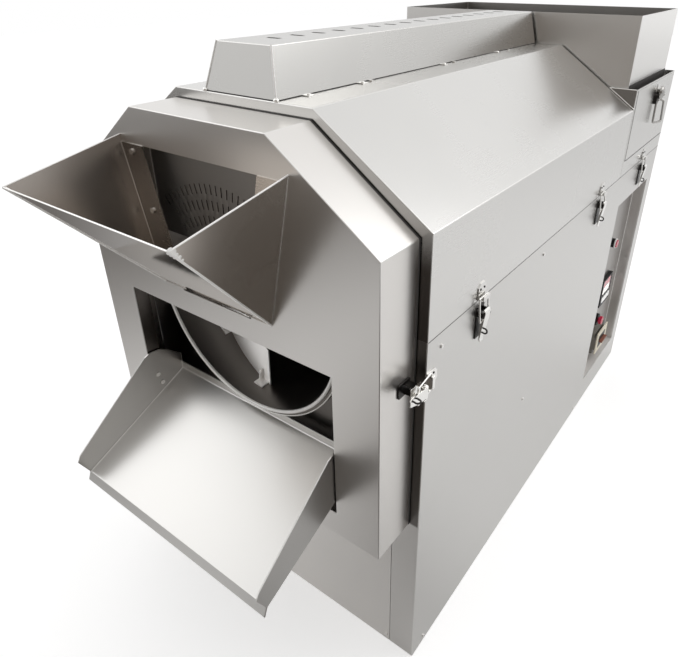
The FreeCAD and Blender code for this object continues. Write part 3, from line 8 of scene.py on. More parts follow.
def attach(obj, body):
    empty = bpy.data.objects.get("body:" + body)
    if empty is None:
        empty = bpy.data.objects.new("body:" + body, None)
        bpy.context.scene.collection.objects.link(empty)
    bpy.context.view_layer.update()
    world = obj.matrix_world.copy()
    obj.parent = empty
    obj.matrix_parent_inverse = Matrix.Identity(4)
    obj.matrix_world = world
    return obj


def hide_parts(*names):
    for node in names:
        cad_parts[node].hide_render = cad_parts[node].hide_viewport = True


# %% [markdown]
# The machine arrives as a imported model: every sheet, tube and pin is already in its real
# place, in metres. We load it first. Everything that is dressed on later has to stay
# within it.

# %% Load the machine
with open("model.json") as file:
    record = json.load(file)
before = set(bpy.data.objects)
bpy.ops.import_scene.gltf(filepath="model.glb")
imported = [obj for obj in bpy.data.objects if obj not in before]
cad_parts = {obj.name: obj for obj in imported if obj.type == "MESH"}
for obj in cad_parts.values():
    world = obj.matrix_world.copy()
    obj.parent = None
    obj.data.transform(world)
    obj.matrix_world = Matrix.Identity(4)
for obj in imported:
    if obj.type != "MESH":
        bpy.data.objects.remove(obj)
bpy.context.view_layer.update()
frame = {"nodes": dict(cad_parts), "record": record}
nodes = frame["nodes"]
body_of_node = {n: b for b, ns in frame["record"]["behaviour"]["bodies"].items() for n in ns}

# %% [markdown]
# The photograph was taken from the front right, well above the hood, with a wide lens close
# to the machine. Matching it needs four things: where the lens stood, how far it was turned,
# how far it was tipped, and its focal length. A small shift puts the machine off centre, as
# it is in the photograph. The colours are shown as they are, without a film look.

# %% Camera


def show(obj):
    bpy.context.scene.collection.objects.link(obj)
    return obj


VIEW_TURN = radians(35.961)
VIEW_TIP = radians(28.004)
VIEW_PLACE = (0.7285, -1.3450, 1.2787)
FOCAL_PIXELS = 594.84
SHIFT_PIXELS = (-33.48, -43.0)
FRAME_WIDTH = 679
SENSOR_WIDTH = 36.0
FAR_CLIP = 60
lens_data = bpy.data.cameras.new("photo_lens")
lens_data.sensor_width = SENSOR_WIDTH
lens_data.lens = FOCAL_PIXELS / FRAME_WIDTH * SENSOR_WIDTH
lens_data.shift_x = SHIFT_PIXELS[0] / FRAME_WIDTH
lens_data.shift_y = SHIFT_PIXELS[1] / FRAME_WIDTH
lens_data.clip_end = FAR_CLIP
camera = bpy.data.objects.new("photo_camera", lens_data)
camera.location = VIEW_PLACE
camera.rotation_euler = Euler((pi / 2 - VIEW_TIP, 0, VIEW_TURN))
show(camera)
bpy.context.scene.camera = camera
bpy.context.scene.view_settings.view_transform = "Standard"
print("lens", round(lens_data.lens, 2), "mm")

# %% [markdown]
# Bare stainless steel has almost no colour of its own: what we see on it is the room. So the
# room matters as much as the metal. Ours is a white studio that is open at the back and the
# sides. Towards the photographer the room falls off to a warm grey, and it is this grey that
# draws the front sheets, the hopper and the folds. Straight light paths from the lens always
# see white, and so do glossy and glass paths, except where the room really is darker.

# %% Node helpers


def join_nodes(tree, *pairs):
    for start, end in pairs:
        tree.links.new(start, end)


def math_node(tree, kind, first, second, clamp=False):
    n = tree.nodes.new("ShaderNodeMath")
    n.operation = kind
    n.use_clamp = clamp
    for spot, value in enumerate((first, second)):
        if isinstance(value, (int, float)):
            n.inputs[spot].default_value = value
        else:
            tree.links.new(value, n.inputs[spot])
    return n.outputs[0]


def multiply(tree, first, second):
    return math_node(tree, "MULTIPLY", first, second)


def add(tree, first, second, clamp=False):
    return math_node(tree, "ADD", first, second, clamp)


def larger(tree, first, second):
    return math_node(tree, "MAXIMUM", first, second)


def ramp_node(tree, value, low, high, at_low, at_high):
    n = tree.nodes.new("ShaderNodeMapRange")
    n.interpolation_type = "SMOOTHSTEP"
    for title, end in (("From Min", low), ("From Max", high), ("To Min", at_low), ("To Max", at_high)):
        n.inputs[title].default_value = end
    tree.links.new(value, n.inputs["Value"])
    return n.outputs["Result"]


def blend_colour(tree, factor, first, second):
    n = tree.nodes.new("ShaderNodeMix")
    n.data_type = "RGBA"
    for spot, value in (("A", first), ("B", second)):
        socket = [s for s in n.inputs if s.name == spot and s.type == "RGBA"][0]
        if isinstance(value, tuple):
            socket.default_value = value
        else:
            tree.links.new(value, socket)
    tree.links.new(factor, n.inputs[0])
    return [s for s in n.outputs if s.type == "RGBA"][0]


def seen_path(tree):
    path = tree.nodes.new("ShaderNodeLightPath")
    mirrored = larger(tree, path.outputs["Is Glossy Ray"],
                         path.outputs["Is Transmission Ray"])
    return path.outputs["Is Camera Ray"], mirrored


def scaled_colour(tree, colour, amount):
    n = tree.nodes.new("ShaderNodeVectorMath")
    n.operation = "SCALE"
    join_nodes(tree, (colour, n.inputs[0]), (amount, n.inputs["Scale"]))
    return n.outputs[0]


def noise_node(tree, vector, detail, roughness=0.5, scale=1.0):
    n = tree.nodes.new("ShaderNodeTexNoise")
    for title, value in (("Scale", scale), ("Detail", detail), ("Roughness", roughness)):
        n.inputs[title].default_value = value
    join_nodes(tree, (vector, n.inputs["Vector"]))
    return n


print("node helpers ready")

# %% World
ROOM_WHITE = (1.0, 1.0, 1.0, 1)
ROOM_GREY = (0.26, 0.23, 0.205, 1)
GREY_WAY = (0.50, -0.866)
GREY_ENDS = (0.30, 0.92, 0.0, 1.0)
CEILING_ENDS = (0.45, 0.80, 1.0, 0.0)
DIFFUSE_STRENGTH = 0.82
world = bpy.data.worlds.new("studio")
bpy.context.scene.world = world
world.use_nodes = True
room = world.node_tree
room.nodes.clear()
room_out = room.nodes.new("ShaderNodeOutputWorld")
room_light = room.nodes.new("ShaderNodeBackground")
room_coord = room.nodes.new("ShaderNodeTexCoord")
room_split = room.nodes.new("ShaderNodeSeparateXYZ")
join_nodes(room, (room_coord.outputs["Generated"], room_split.inputs[0]))
facing = add(room, multiply(room, room_split.outputs["X"], GREY_WAY[0]),
                   multiply(room, room_split.outputs["Y"], GREY_WAY[1]))
dim_side = ramp_node(room, facing, *GREY_ENDS)
under_ceiling = ramp_node(room, room_split.outputs["Z"], *CEILING_ENDS)
greyness = multiply(room, dim_side, under_ceiling)
room_tone = blend_colour(room, greyness, ROOM_WHITE, ROOM_GREY)
lens_sees, mirror_sees = seen_path(room)
seen = larger(room, lens_sees, mirror_sees)
join_nodes(
    room, (blend_colour(room, lens_sees, room_tone, ROOM_WHITE), room_light.inputs["Color"]),
    (larger(room, seen, DIFFUSE_STRENGTH), room_light.inputs["Strength"]),
    (room_light.outputs[0], room_out.inputs[0]))
print("world", world.name)

# %% [markdown]
# The floor is pale paper. The lens sees it almost white, with only the machine's own shadow on
# it. A mirror sees more of it, and there the paper carries painted shade: it is dark where the
# photographer stands and far to the left, and this is what shades the front sheets towards
# their foot. In a band in front of the machine a mirror sees a painted glow on it instead.

# %% Floor
FLOOR_HALF = 14
PAPER_WHITE = (0.8, 0.8, 0.8, 1)
PAPER_PAINTED_SHADE = (0.09, 0.078, 0.068, 1)
LENS_SPOT = (0.85, -1.65, 0.0)
LENS_ENDS = (0.45, 1.5, 0.0, 1.0)
LEFT_ENDS, FAR_LEFT_ENDS = (-2.3, 0.1, 0.10, 1.0), (-4.6, -2.6, 0.40, 0.10)
FRONT_ENDS = (-3.6, -1.6, 0.45, 1.0)
FOOT_FRONT_ENDS, FOOT_BACK_ENDS = (-1.55, -1.10, 0.0, 0.17), (-0.75, -0.55, 1.0, 0.0)
PAPER_SHEEN = 0.15
LENS_GLOW = 0.42
floor_mesh = bpy.data.meshes.new("studio_floor")
bm = bmesh.new()
bmesh.ops.create_grid(bm, x_segments=1, y_segments=1, size=FLOOR_HALF)
bm.to_mesh(floor_mesh)
bm.free()
studio_floor = bpy.data.objects.new("studio_floor", floor_mesh)
show(studio_floor)
floor_mat = bpy.data.materials.new("studio_floor_paper")
floor_mat.use_nodes = True
paper = floor_mat.node_tree
paper_shader = paper.nodes["Principled BSDF"]
paper_shader.inputs["Roughness"].default_value = 0.9
paper_shader.inputs["Specular IOR Level"].default_value = 0.1
paper_coord = paper.nodes.new("ShaderNodeTexCoord")
paper_split = paper.nodes.new("ShaderNodeSeparateXYZ")
from_lens = paper.nodes.new("ShaderNodeVectorMath")
from_lens.operation = "DISTANCE"
from_lens.inputs[1].default_value = LENS_SPOT
join_nodes(paper, (paper_coord.outputs["Object"], paper_split.inputs[0]),
           (paper_coord.outputs["Object"], from_lens.inputs[0]))
clear_of_lens = ramp_node(paper, from_lens.outputs["Value"], *LENS_ENDS)
near_left = larger(
    paper, ramp_node(paper, paper_split.outputs["X"], *LEFT_ENDS),
       ramp_node(paper, paper_split.outputs["X"], *FAR_LEFT_ENDS))
near_front = ramp_node(paper, paper_split.outputs["Y"], *FRONT_ENDS)
lit = multiply(paper, multiply(paper, clear_of_lens, near_left), near_front)
lens_sees, mirror_sees = seen_path(paper)
# Painted light: in a mirror, a band of paper in front of the machine glows a little more.
at_foot = multiply(
    paper, ramp_node(paper, paper_split.outputs["Y"], *FOOT_FRONT_ENDS),
     ramp_node(paper, paper_split.outputs["Y"], *FOOT_BACK_ENDS))
sheen = multiply(
    paper, multiply(paper, mirror_sees, lit),
     add(paper, at_foot, PAPER_SHEEN))
glow = larger(paper, multiply(paper, lens_sees, LENS_GLOW), sheen)
# Painted shade: in a mirror, the paper darkens towards this grey away from the lit area.
unlit = multiply(paper, mirror_sees, math_node(paper, "SUBTRACT", 1.0, lit))
paper_shader.inputs["Emission Color"].default_value = (1, 1, 1, 1)
join_nodes(paper, (glow, paper_shader.inputs["Emission Strength"]),
           (blend_colour(paper, unlit, PAPER_WHITE, PAPER_PAINTED_SHADE), paper_shader.inputs["Base Color"]))
floor_mesh.materials.append(floor_mat)
print("floor", 2 * FLOOR_HALF, "m square")

# %% [markdown]
# Four soft lamps light the machine. The one behind on the right brightens the hood's slopes;
# it is large, because a small strong lamp would burn white spots into the metal. The one over
# the machine and the one on the left soften the shadows. The last is a small one in front of
# the mouth, and it is kept for the drum's flight.

# %% Lamps


def soft_lamp(name, place, aim, width, height, watts):
    lamp_data = bpy.data.lights.new(name, "AREA")
    lamp_data.shape = "RECTANGLE"
    lamp_data.size, lamp_data.size_y = width, height
    lamp_data.energy = watts
    lamp = bpy.data.objects.new(name, lamp_data)
    lamp.location = place
    lamp.rotation_euler = (Vector(aim) - Vector(place)).to_track_quat("-Z", "Y").to_euler()
    return show(lamp)


overhead = soft_lamp("overhead_softbox", (-0.5, 0.2, 3.4), (0, 0, 0.6), 2.6, 3.2, 12)
overhead.visible_glossy = False
soft_lamp("back_right_softbox", (1.95, 1.25, 2.9), (0.2, -0.6, 0.9), 1.9, 1.9, 18)
soft_lamp("left_softbox", (-2.4, -1.8, 2.9), (-0.1, -0.9, 0.4), 1.8, 1.8, 6)
mouth_lamp = soft_lamp("mouth_softbox", (-0.45, -1.25, 0.55), (0.05, -0.55, 0.66), 0.5, 0.5, 4)
mouth_lamp.visible_camera = False
print("lamps", len(bpy.data.lights))

# %% [markdown]
# Stainless sheet is ground with an abrasive belt, which leaves fine scratches in one direction.
# They show as faint streaks in both colour and gloss. On top of that every sheet has soft
# clouds from handling and rolling. One node group makes both; each sheet gives it its own
# stretch, so the streaks run along that sheet's grinding direction. Where a sheet is cut, the
# edge is ground bright, and the group lightens it there; it lightens the rounded folds too,
# which is a painted highlight. Where a sheet is told to, the group also browns and darkens it,
# which is painted shade.

# %% Brushed sheet group
# Painted shade: shaded faces are blended towards this brown.
PAINTED_SHADE_BROWN = (0.10, 0.088, 0.08, 1)
# Ground cut edges, and the painted highlight on the folds, are blended towards this.
GROUND_EDGE_AND_HIGHLIGHT = (0.80, 0.79, 0.77, 1)
CLOUD_SCALE = 3.2
ROUGH_STREAK, ROUGH_CLOUD = 0.02, 0.10


def new_group(name, *inputs):
    group = bpy.data.node_groups.new(name, "ShaderNodeTree")
    for title, kind, start in inputs:
        socket = group.interface.new_socket(name=title, in_out="INPUT", socket_type="NodeSocket" + kind)
        if start is not None:
            socket.default_value = start
    for title, kind in (("Color", "Color"), ("Roughness", "Float"), ("Height", "Float")):
        group.interface.new_socket(name=title, in_out="OUTPUT", socket_type="NodeSocket" + kind)
    return group, group.nodes.new("NodeGroupInput").outputs, group.nodes.new("NodeGroupOutput").inputs


brushed, g_in, g_out = new_group(
    "brushed_sheet", ("Vector", "Vector", None), ("Stretch", "Vector", (8, 8, 8)),
    ("Tint", "Color", (0.6, 0.6, 0.6, 1)), ("Streak", "Float", 0.05), ("Clouds", "Float", 0.08),
    ("Gloss", "Float", 0.3), ("Edge", "Float", 0.0), ("PaintedShade", "Float", 0.0))
g_map = brushed.nodes.new("ShaderNodeMapping")
join_nodes(brushed, (g_in["Vector"], g_map.inputs["Vector"]), (g_in["Stretch"], g_map.inputs["Scale"]))
g_fine = noise_node(brushed, g_map.outputs[0], 3.0, 0.65)
g_cloud = noise_node(brushed, g_in["Vector"], 4.0, 0.55, CLOUD_SCALE)
fine_off = math_node(brushed, "SUBTRACT", g_fine.outputs["Fac"], 0.5)
cloud_off = math_node(brushed, "SUBTRACT", g_cloud.outputs["Fac"], 0.5)
streak_part = multiply(brushed, fine_off, g_in["Streak"])
cloud_part = multiply(brushed, cloud_off, g_in["Clouds"])
tone = add(brushed, add(brushed, streak_part, cloud_part), 1.0)
shaded_colour = blend_colour(brushed, g_in["PaintedShade"], scaled_colour(brushed, g_in["Tint"], tone), PAINTED_SHADE_BROWN)
rough_part = add(
    brushed, multiply(brushed, fine_off, ROUGH_STREAK),
          multiply(brushed, cloud_off, ROUGH_CLOUD))
join_nodes(
    brushed, (blend_colour(brushed, g_in["Edge"], shaded_colour, GROUND_EDGE_AND_HIGHLIGHT), g_out["Color"]),
    (add(brushed, rough_part, g_in["Gloss"], True), g_out["Roughness"]),
    (g_fine.outputs["Fac"], g_out["Height"]))
print("group", brushed.name, len(brushed.nodes), "nodes")

# %% [markdown]
# Painted shade browns and darkens a sheet where it lies in shade, and where it mirrors a dark
# part of the room. Some of it starts at a line across the sheet and so follows one axis; some
# belongs to faces that are marked further below. Where a sheet has several conditions, the
# painted shade shows only where all of them hold.

# %% Steel material helper
GRAIN_X = (12.0, 900.0, 900.0)
GRAIN_Y = (900.0, 12.0, 900.0)
GRAIN_Z = (900.0, 900.0, 12.0)
NO_GRAIN = (60.0, 60.0, 60.0)
STEEL_BUMP = 0.03


def group_material(name, group, settings, metallic, strength, depth):
    mat = bpy.data.materials.new(name)
    mat.use_nodes = True
    tree = mat.node_tree
    shader = tree.nodes["Principled BSDF"].inputs
    shader["Metallic"].default_value = metallic
    skin = tree.nodes.new("ShaderNodeGroup")
    skin.node_tree = group
    for title, value in settings:
        skin.inputs[title].default_value = value
    bump = tree.nodes.new("ShaderNodeBump")
    bump.inputs["Strength"].default_value = strength
    bump.inputs["Distance"].default_value = depth
    place = tree.nodes.new("ShaderNodeTexCoord").outputs["Object"]
    join_nodes(
        tree, (place, skin.inputs["Vector"]), (skin.outputs["Color"], shader["Base Color"]),
        (skin.outputs["Roughness"], shader["Roughness"]),
        (skin.outputs["Height"], bump.inputs["Height"]),
        (bump.outputs["Normal"], shader["Normal"]))
    return mat, shader, skin.inputs, place


def attribute(tree, name):
    layer = tree.nodes.new("ShaderNodeAttribute")
    layer.attribute_name = name
    return layer.outputs["Fac"]


def painted_shade_part(tree, place, way, *ends, most):
    if way == "mask":
        return multiply(tree, attribute(tree, "shade_mask"), most)
    if way == "unmasked":
        return math_node(tree, "SUBTRACT", most, attribute(tree, "shade_mask"), True)
    clean_at, dark_at = ends
    split = tree.nodes.new("ShaderNodeSeparateXYZ")
    join_nodes(tree, (place, split.inputs[0]))
    tones = (0.0, most) if dark_at > clean_at else (most, 0.0)
    return ramp_node(tree, split.outputs[way], *sorted(ends), *tones)


def steel(name, tint, grain, streak, clouds, gloss, depth=0.000004, painted_shade=(), polish=None):
    settings = (("Stretch", grain), ("Tint", (*tint, 1)), ("Streak", streak), ("Clouds", clouds),
                ("Gloss", gloss))
    mat, shader, skin, place = group_material(name, brushed, settings, 1.0, STEEL_BUMP, depth)
    tree = mat.node_tree
    join_nodes(tree, (attribute(tree, "cut_edge_and_fold_highlight"), skin["Edge"]))
    parts = [painted_shade_part(tree, place, *which, most=most) for *which, most in painted_shade]
    if parts:
        whole = parts[0]
        for part in parts[1:]:
            whole = multiply(tree, whole, part)
        join_nodes(tree, (whole, skin["PaintedShade"]))
    if polish is not None:
        shift = multiply(tree, attribute(tree, "shade_mask"), polish - gloss)
        join_nodes(tree, (add(tree, shift, gloss), skin["Gloss"]))
    return mat


print("grains", GRAIN_X, GRAIN_Y, GRAIN_Z)


# %% [markdown]
# A press brake never folds a sheet to a knife edge. Each fold has a small radius, and that
# radius is what catches the light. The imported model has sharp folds, so we take a copy of a
# sheet's mesh, merge it into one skin, round its folds with a bevel and break its cut edges a
# little. To tell a fold from a cut edge we look at the flat areas on both sides: a cut edge
# belongs to a strip that is only as wide as the sheet is thick. The copy then stands for the
# sharp one.

# %% Fold helper
STRIP_WIDTH = 0.0032
FOLD_RADIUS = 0.0018
FOLD_STEPS = 3
# Painted highlight: how far the rounded faces of the folds are lightened.
FOLD_PAINTED_HIGHLIGHT = 0.6
SHEET_RIM = 0.0004
FLAT_ENOUGH = 0.9999
MERGE_WITHIN = 0.00002


def place_piece(name, bm, mat, body, smooth=True):
    mesh = bpy.data.meshes.new(name)
    bm.to_mesh(mesh)
    bm.free()
    if smooth:
        mesh.polygons.foreach_set("use_smooth", [True] * len(mesh.polygons))
    mesh.materials.append(mat)
    obj = bpy.data.objects.new(name, mesh)
    show(obj)
    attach(obj, body)
    return obj


def even_normals(obj):
    mod = obj.modifiers.new("even_normals", "WEIGHTED_NORMAL")
    mod.weight = 80
    mod.keep_sharp = False
    return obj


def crisp_piece(name, bm, mat, body):
    return even_normals(place_piece(name, bm, mat, body))


def sharp_edges(bm, least=50):
    return [e for e in bm.edges if len(e.link_faces) == 2 and e.calc_face_angle(0) > radians(least)]


def round_edges(bm, edges, offset, segments, clamp=True):
    return bmesh.ops.bevel(
        bm, geom=edges, offset=offset, offset_type="OFFSET", segments=segments,
        profile=0.5, affect="EDGES", clamp_overlap=clamp, material=-1)


def flat_area(seed, found):
    flat, queue = [], [seed]
    found.add(seed)
    while queue:
        face = queue.pop()
        flat.append(face)
        for edge in face.edges:
            for other in edge.link_faces:
                if other not in found and face.normal.dot(other.normal) > FLAT_ENOUGH:
                    found.add(other)
                    queue.append(other)
    return flat


def mark_strips(bm):
    layer = bm.faces.layers.float.new("cut_edge_and_fold_highlight")
    bm.faces.ensure_lookup_table()
    found = set()
    for seed in bm.faces:
        if seed in found:
            continue
        flat = flat_area(seed, found)
        inside = set(flat)
        rim = sum(e.calc_length() for f in flat for e in f.edges
                  if any(o not in inside for o in e.link_faces))
        narrow = 2 * sum(f.calc_area() for f in flat) < rim * STRIP_WIDTH
        for face in flat:
            face[layer] = 1.0 if narrow else 0.0
    return layer


def folded(node, mat, fold=FOLD_RADIUS, rim=SHEET_RIM, name=None, marked=None, without_edge_light=None):
    bm = bmesh.new()
    bm.from_mesh(nodes[node].data)
    bmesh.ops.remove_doubles(bm, verts=bm.verts, dist=MERGE_WITHIN)
    layer = mark_strips(bm)
    folds = [e for e in sharp_edges(bm, 18)
             if not any(f[layer] for f in e.link_faces) and e.calc_length() > 3 * fold]
    if folds and fold:
        rounded = round_edges(bm, folds, fold, FOLD_STEPS, False)
        for face in rounded["faces"]:
            # Painted highlight on the rounded faces of the folds.
            face[layer] = FOLD_PAINTED_HIGHLIGHT
    if rim:
        round_edges(bm, sharp_edges(bm), rim, 2)
    if marked:
        mask = bm.faces.layers.float.new("shade_mask")
        for face in bm.faces:
            strip = face[layer] == 1.0
            face[mask] = 1.0 if marked(face.calc_center_median(), face.normal, strip) else 0.0
    if without_edge_light:
        for face in bm.faces:
            if without_edge_light(face.calc_center_median(), face.normal, face[layer] == 1.0):
                face[layer] = 0.0
    obj = place_piece(name or node + "_sheet", bm, mat, body_of_node[node])
    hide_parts(node)
    return even_normals(obj)


print("folds", FOLD_RADIUS, "m in", FOLD_STEPS, "steps")


# %% [markdown]
# Some sheets need more than one finish. The insides of the duct and the flue box, the slot walls
# of the duct and the plate, and the jambs of the cover's mouth get painted shade, the walls of
# the tray get painted shade that makes them darker than its floor, and the hopper's front is
# polished so that it mirrors the mouth below. Which faces those are follows from where a face
# looks: towards the middle of a box, to the side, or forwards and down. The fold helper writes
# the answer on the faces, and the material reads it.

# %% Face marks
DUCT_MIDDLE = Vector((0, -0.205, 1.14))
FLUE_MIDDLE = Vector((0, 0.486, 1.01))
FLANGE_FRONT = -0.7968
MOUTH_HALF, MOUTH_TOP = 0.26, 0.80


def slots_and_inside(centre, normal, strip):
    return strip or (DUCT_MIDDLE - centre).dot(normal) > 0


def inside_flue(centre, normal, strip):
    return not strip and (FLUE_MIDDLE - centre).dot(normal) > 0


def all_strips(centre, normal, strip):
    return strip


def hopper_flange(centre, normal, strip):
    return centre.y > FLANGE_FRONT


def hopper_front(centre, normal, strip):
    return normal.y < -0.4 and normal.z < -0.4


def mouth_jambs(centre, normal, strip):
    return abs(normal.x) > 0.5 and abs(centre.x) < MOUTH_HALF and centre.z < MOUTH_TOP


def pan_floor(centre, normal, strip):
    return normal.z > 0.5


def side_walls(centre, normal, strip):
    return abs(normal.x) > 0.9 and not strip


print("marks for the duct, flue box, plate, hopper, cover, recess and tray")

# %% [markdown]
# All the sheets are the same steel, but each gets its own tint, grain and painted shade. The
# tints are lit and shaded copies of that steel: the hopper is darker and browner, the flue box
# paler, the duct darker, and the slotted plate darkest. The painted shade browns the faces
# that lie in shade. Then every one of them is folded, and the folded copy stands for the
# imported sheet.

# %% Materials for the sheets
side_steel = steel("side_sheet_steel", (0.665, 0.657, 0.64), GRAIN_Y, 0.015, 0.06, 0.32, 0.000001)
# Painted shade: the hood's front face is darkened below a height of 0.99 m.
hood_steel = steel(
    "hood_sheet_steel", (0.69, 0.682, 0.665), GRAIN_Y, 0.006, 0.05, 0.27, 0.0000005,
    [("Y", -0.6966, -0.6972, 1.0), ("Z", 0.99, 0.90, 1.0)])
# Painted shade: the deck's front wall is darkened.
deck_steel = steel(
    "deck_sheet_steel", (0.67, 0.662, 0.645), GRAIN_Y, 0.006, 0.05, 0.27, 0.0000005,
    [("Y", 0.2895, 0.2872, 0.55)])
# Painted shade: the faces inside the flue box are darkened.
flue_steel = steel(
    "flue_sheet_steel", (0.82, 0.81, 0.79), GRAIN_Z, 0.012, 0.05, 0.30, 0.000001,
    [("mask", 0.55)])
# Painted shade: the front plate is darkened from 0.39 m up, beside the cover.
plate_steel = steel(
    "front_plate_steel", (0.66, 0.645, 0.625), GRAIN_X, 0.04, 0.08, 0.30,
    painted_shade=[("Z", 0.386, 0.392, 0.86)])
# Painted shade: the plate is tinted dark, and its slot walls are darkened further.
slotted_steel = steel(
    "slotted_plate_steel", (0.36, 0.345, 0.33), GRAIN_X, 0.04, 0.08, 0.52,
    painted_shade=[("mask", 1.0)])
# Painted shade: the duct's inside faces and slot walls are darkened.
duct_steel = steel(
    "duct_sheet_steel", (0.54, 0.532, 0.515), GRAIN_Y, 0.006, 0.05, 0.27, 0.0000005,
    [("mask", 1.0)])
# Painted shade: the back wall of the recess is darkened.
pan_steel = steel(
    "recess_sheet_steel", (0.74, 0.72, 0.70), GRAIN_Z, 0.04, 0.06, 0.36,
    painted_shade=[("X", 0.3290, 0.3275, 0.5)], polish=0.8)
# Painted shade: the jambs of the cover's mouth are darkened.
front_steel = steel(
    "front_sheet_steel", (0.75, 0.73, 0.705), GRAIN_X, 0.03, 0.08, 0.30,
    painted_shade=[("mask", 0.92)])
# Painted shade: the tray's side walls are darkened a little.
tray_steel = steel(
    "tray_sheet_steel", (0.72, 0.71, 0.69), GRAIN_Y, 0.04, 0.06, 0.34,
    painted_shade=[("mask", 0.30)])
# Painted shade: the hopper's walls darken towards the left, all but its polished front.
dark_steel = steel(
    "hopper_sheet_steel", (0.62, 0.572, 0.525), GRAIN_X, 0.008, 0.06, 0.27,
    painted_shade=[("X", -0.02, -0.14, 0.52), ("unmasked", 1.0)], polish=0.06)
print("materials", len(bpy.data.materials))

# %% Folded sheets
SHEETS = (
    ("right_side_panel", side_steel, SHEET_RIM, None, None),
    ("left_side_panel", side_steel, SHEET_RIM, None, None),
    ("front_plate", plate_steel, SHEET_RIM, None, None),
    ("lower_front_panel", front_steel, SHEET_RIM, None, None),
    ("rear_panel", front_steel, 0, None, None),
    ("hood_shell", hood_steel, SHEET_RIM, None, None),
    ("top_duct", duct_steel, 0, slots_and_inside, slots_and_inside),
    ("front_cover", front_steel, SHEET_RIM, mouth_jambs, None),
    ("perforated_plate", slotted_steel, 0, all_strips, all_strips),
    ("feed_hopper", dark_steel, SHEET_RIM, hopper_front, hopper_flange),
    ("discharge_tray", tray_steel, SHEET_RIM, side_walls, None),
    ("rear_deck", deck_steel, SHEET_RIM, None, None),
    ("flue_box", flue_steel, SHEET_RIM, inside_flue, None),
    ("control_pan", pan_steel, 0, pan_floor, None))
for node, mat, rim, marked, without_edge_light in SHEETS:
    made = folded(node, mat, rim=rim, marked=marked, without_edge_light=without_edge_light)
    print(made.name, len(made.data.polygons))

# %% [markdown]
# The small fittings are bright zinc plated pressings, and the controls are moulded plastic.
# The bearings and feet of the latches are near black, which is painted shade under the levers.
# Moulded plastic is one colour with a very fine pebble in its gloss, so one more group makes
# that, and every plastic gives it its own colour.

# %% Moulded surface group
DUST_SCALE, DUST_GLOSS = 25.0, 0.2
PLASTIC_BUMP = 0.3
moulded, m_in, m_out = new_group(
    "moulded_surface", ("Vector", "Vector", None), ("Colour", "Color", (0.5, 0.5, 0.5, 1)),
    ("Pebble", "Float", 900.0), ("Variation", "Float", 0.12), ("Gloss", "Float", 0.4))
m_fine = noise_node(moulded, m_in["Vector"], 2.0)
m_dust = noise_node(moulded, m_in["Vector"], 4.0, scale=DUST_SCALE)
dust_off = math_node(moulded, "SUBTRACT", m_dust.outputs["Fac"], 0.5)
m_tone = add(moulded, multiply(moulded, dust_off, m_in["Variation"]), 1.0)
m_gloss = add(moulded, multiply(moulded, dust_off, DUST_GLOSS), m_in["Gloss"], True)
join_nodes(
    moulded, (m_in["Pebble"], m_fine.inputs["Scale"]),
    (scaled_colour(moulded, m_in["Colour"], m_tone), m_out["Color"]),
    (m_gloss, m_out["Roughness"]), (m_fine.outputs["Fac"], m_out["Height"]))


def plastic(name, colour, gloss, variation=0.12, pebble=900.0, metallic=0.0, glow=0.0, depth=0.00002):
    settings = (("Colour", (*colour, 1)), ("Pebble", pebble), ("Variation", variation), ("Gloss", gloss))
    mat, shader = group_material(name, moulded, settings, metallic, PLASTIC_BUMP, depth)[:2]
    if glow:
        shader["Emission Color"].default_value = (*colour, 1)
        shader["Emission Strength"].default_value = glow
    return mat


print("group", moulded.name, len(moulded.nodes), "nodes")

# %% Fitting materials
bright_zinc = steel("latch_zinc", (0.90, 0.89, 0.865), NO_GRAIN, 0.04, 0.06, 0.12)
# Near black: on the latch feet, the cover bracket and the small flue block this is painted shade.
dark_zinc_and_shade = steel("latch_foot_zinc", (0.045, 0.042, 0.04), NO_GRAIN, 0.05, 0.10, 0.35)
keeper_zinc = steel("keeper_zinc", (0.74, 0.73, 0.71), NO_GRAIN, 0.05, 0.08, 0.2)
weld_steel = steel("weld_bead_steel", (0.80, 0.785, 0.76), NO_GRAIN, 0.12, 0.25, 0.22, 0.00002)
mid_zinc = steel("mid_zinc", (0.40, 0.39, 0.375), NO_GRAIN, 0.05, 0.08, 0.18)
# Near white: real on the ground welds and tack spots, a painted highlight on the hopper's lip, the tray's edges
# and the drum's mouth bead.
ground_edge_and_highlight = plastic("ground_edge_and_highlight_steel", (0.90, 0.89, 0.87), 0.34, 0.25, 300.0, metallic=0.30)
seam_rubber_and_shadow = plastic("seam_rubber_and_shadow", (0.035, 0.032, 0.03), 0.6)
print("materials", len(bpy.data.materials))

# %% [markdown]
# Most fittings come from four simple shapes: a plate with rounded corners, a turned part, a
# bent wire, and a ring. The plate starts as a cube and has its upright corners rounded first
# and its rims second. A turned part is a half outline spun about its axis. A wire is a curve
# that is given a thickness, which stays smooth through its bends. Several shapes can be
# gathered into one mesh, as parts that are riveted together move as one.

# %% Shape helpers
RIM = 0.0003
WELD_WITHIN = 0.00001


def gather(bm, *others):
    for other in others:
        carrier = bpy.data.meshes.new("carrier")
        other.to_mesh(carrier)
        other.free()
        bm.from_mesh(carrier)
        bpy.data.meshes.remove(carrier)
    return bm


def joined(*parts):
    return gather(bmesh.new(), *parts)


def soft_block(low, high, corner=0.0, rim=0.0, thin=0):
    bm = bmesh.new()
    low, high = Vector(low), Vector(high)
    size = high - low
    spot = Matrix.Translation((low + high) / 2) @ Matrix.Diagonal((*size, 1))
    bmesh.ops.create_cube(bm, size=1, matrix=spot)
    if corner:
        upright = [e for e in bm.edges if abs((e.verts[0].co - e.verts[1].co)[thin]) > size[thin] / 2]
        round_edges(bm, upright, corner, 5)
    if rim:
        round_edges(bm, sharp_edges(bm), rim, 2)
    return bm


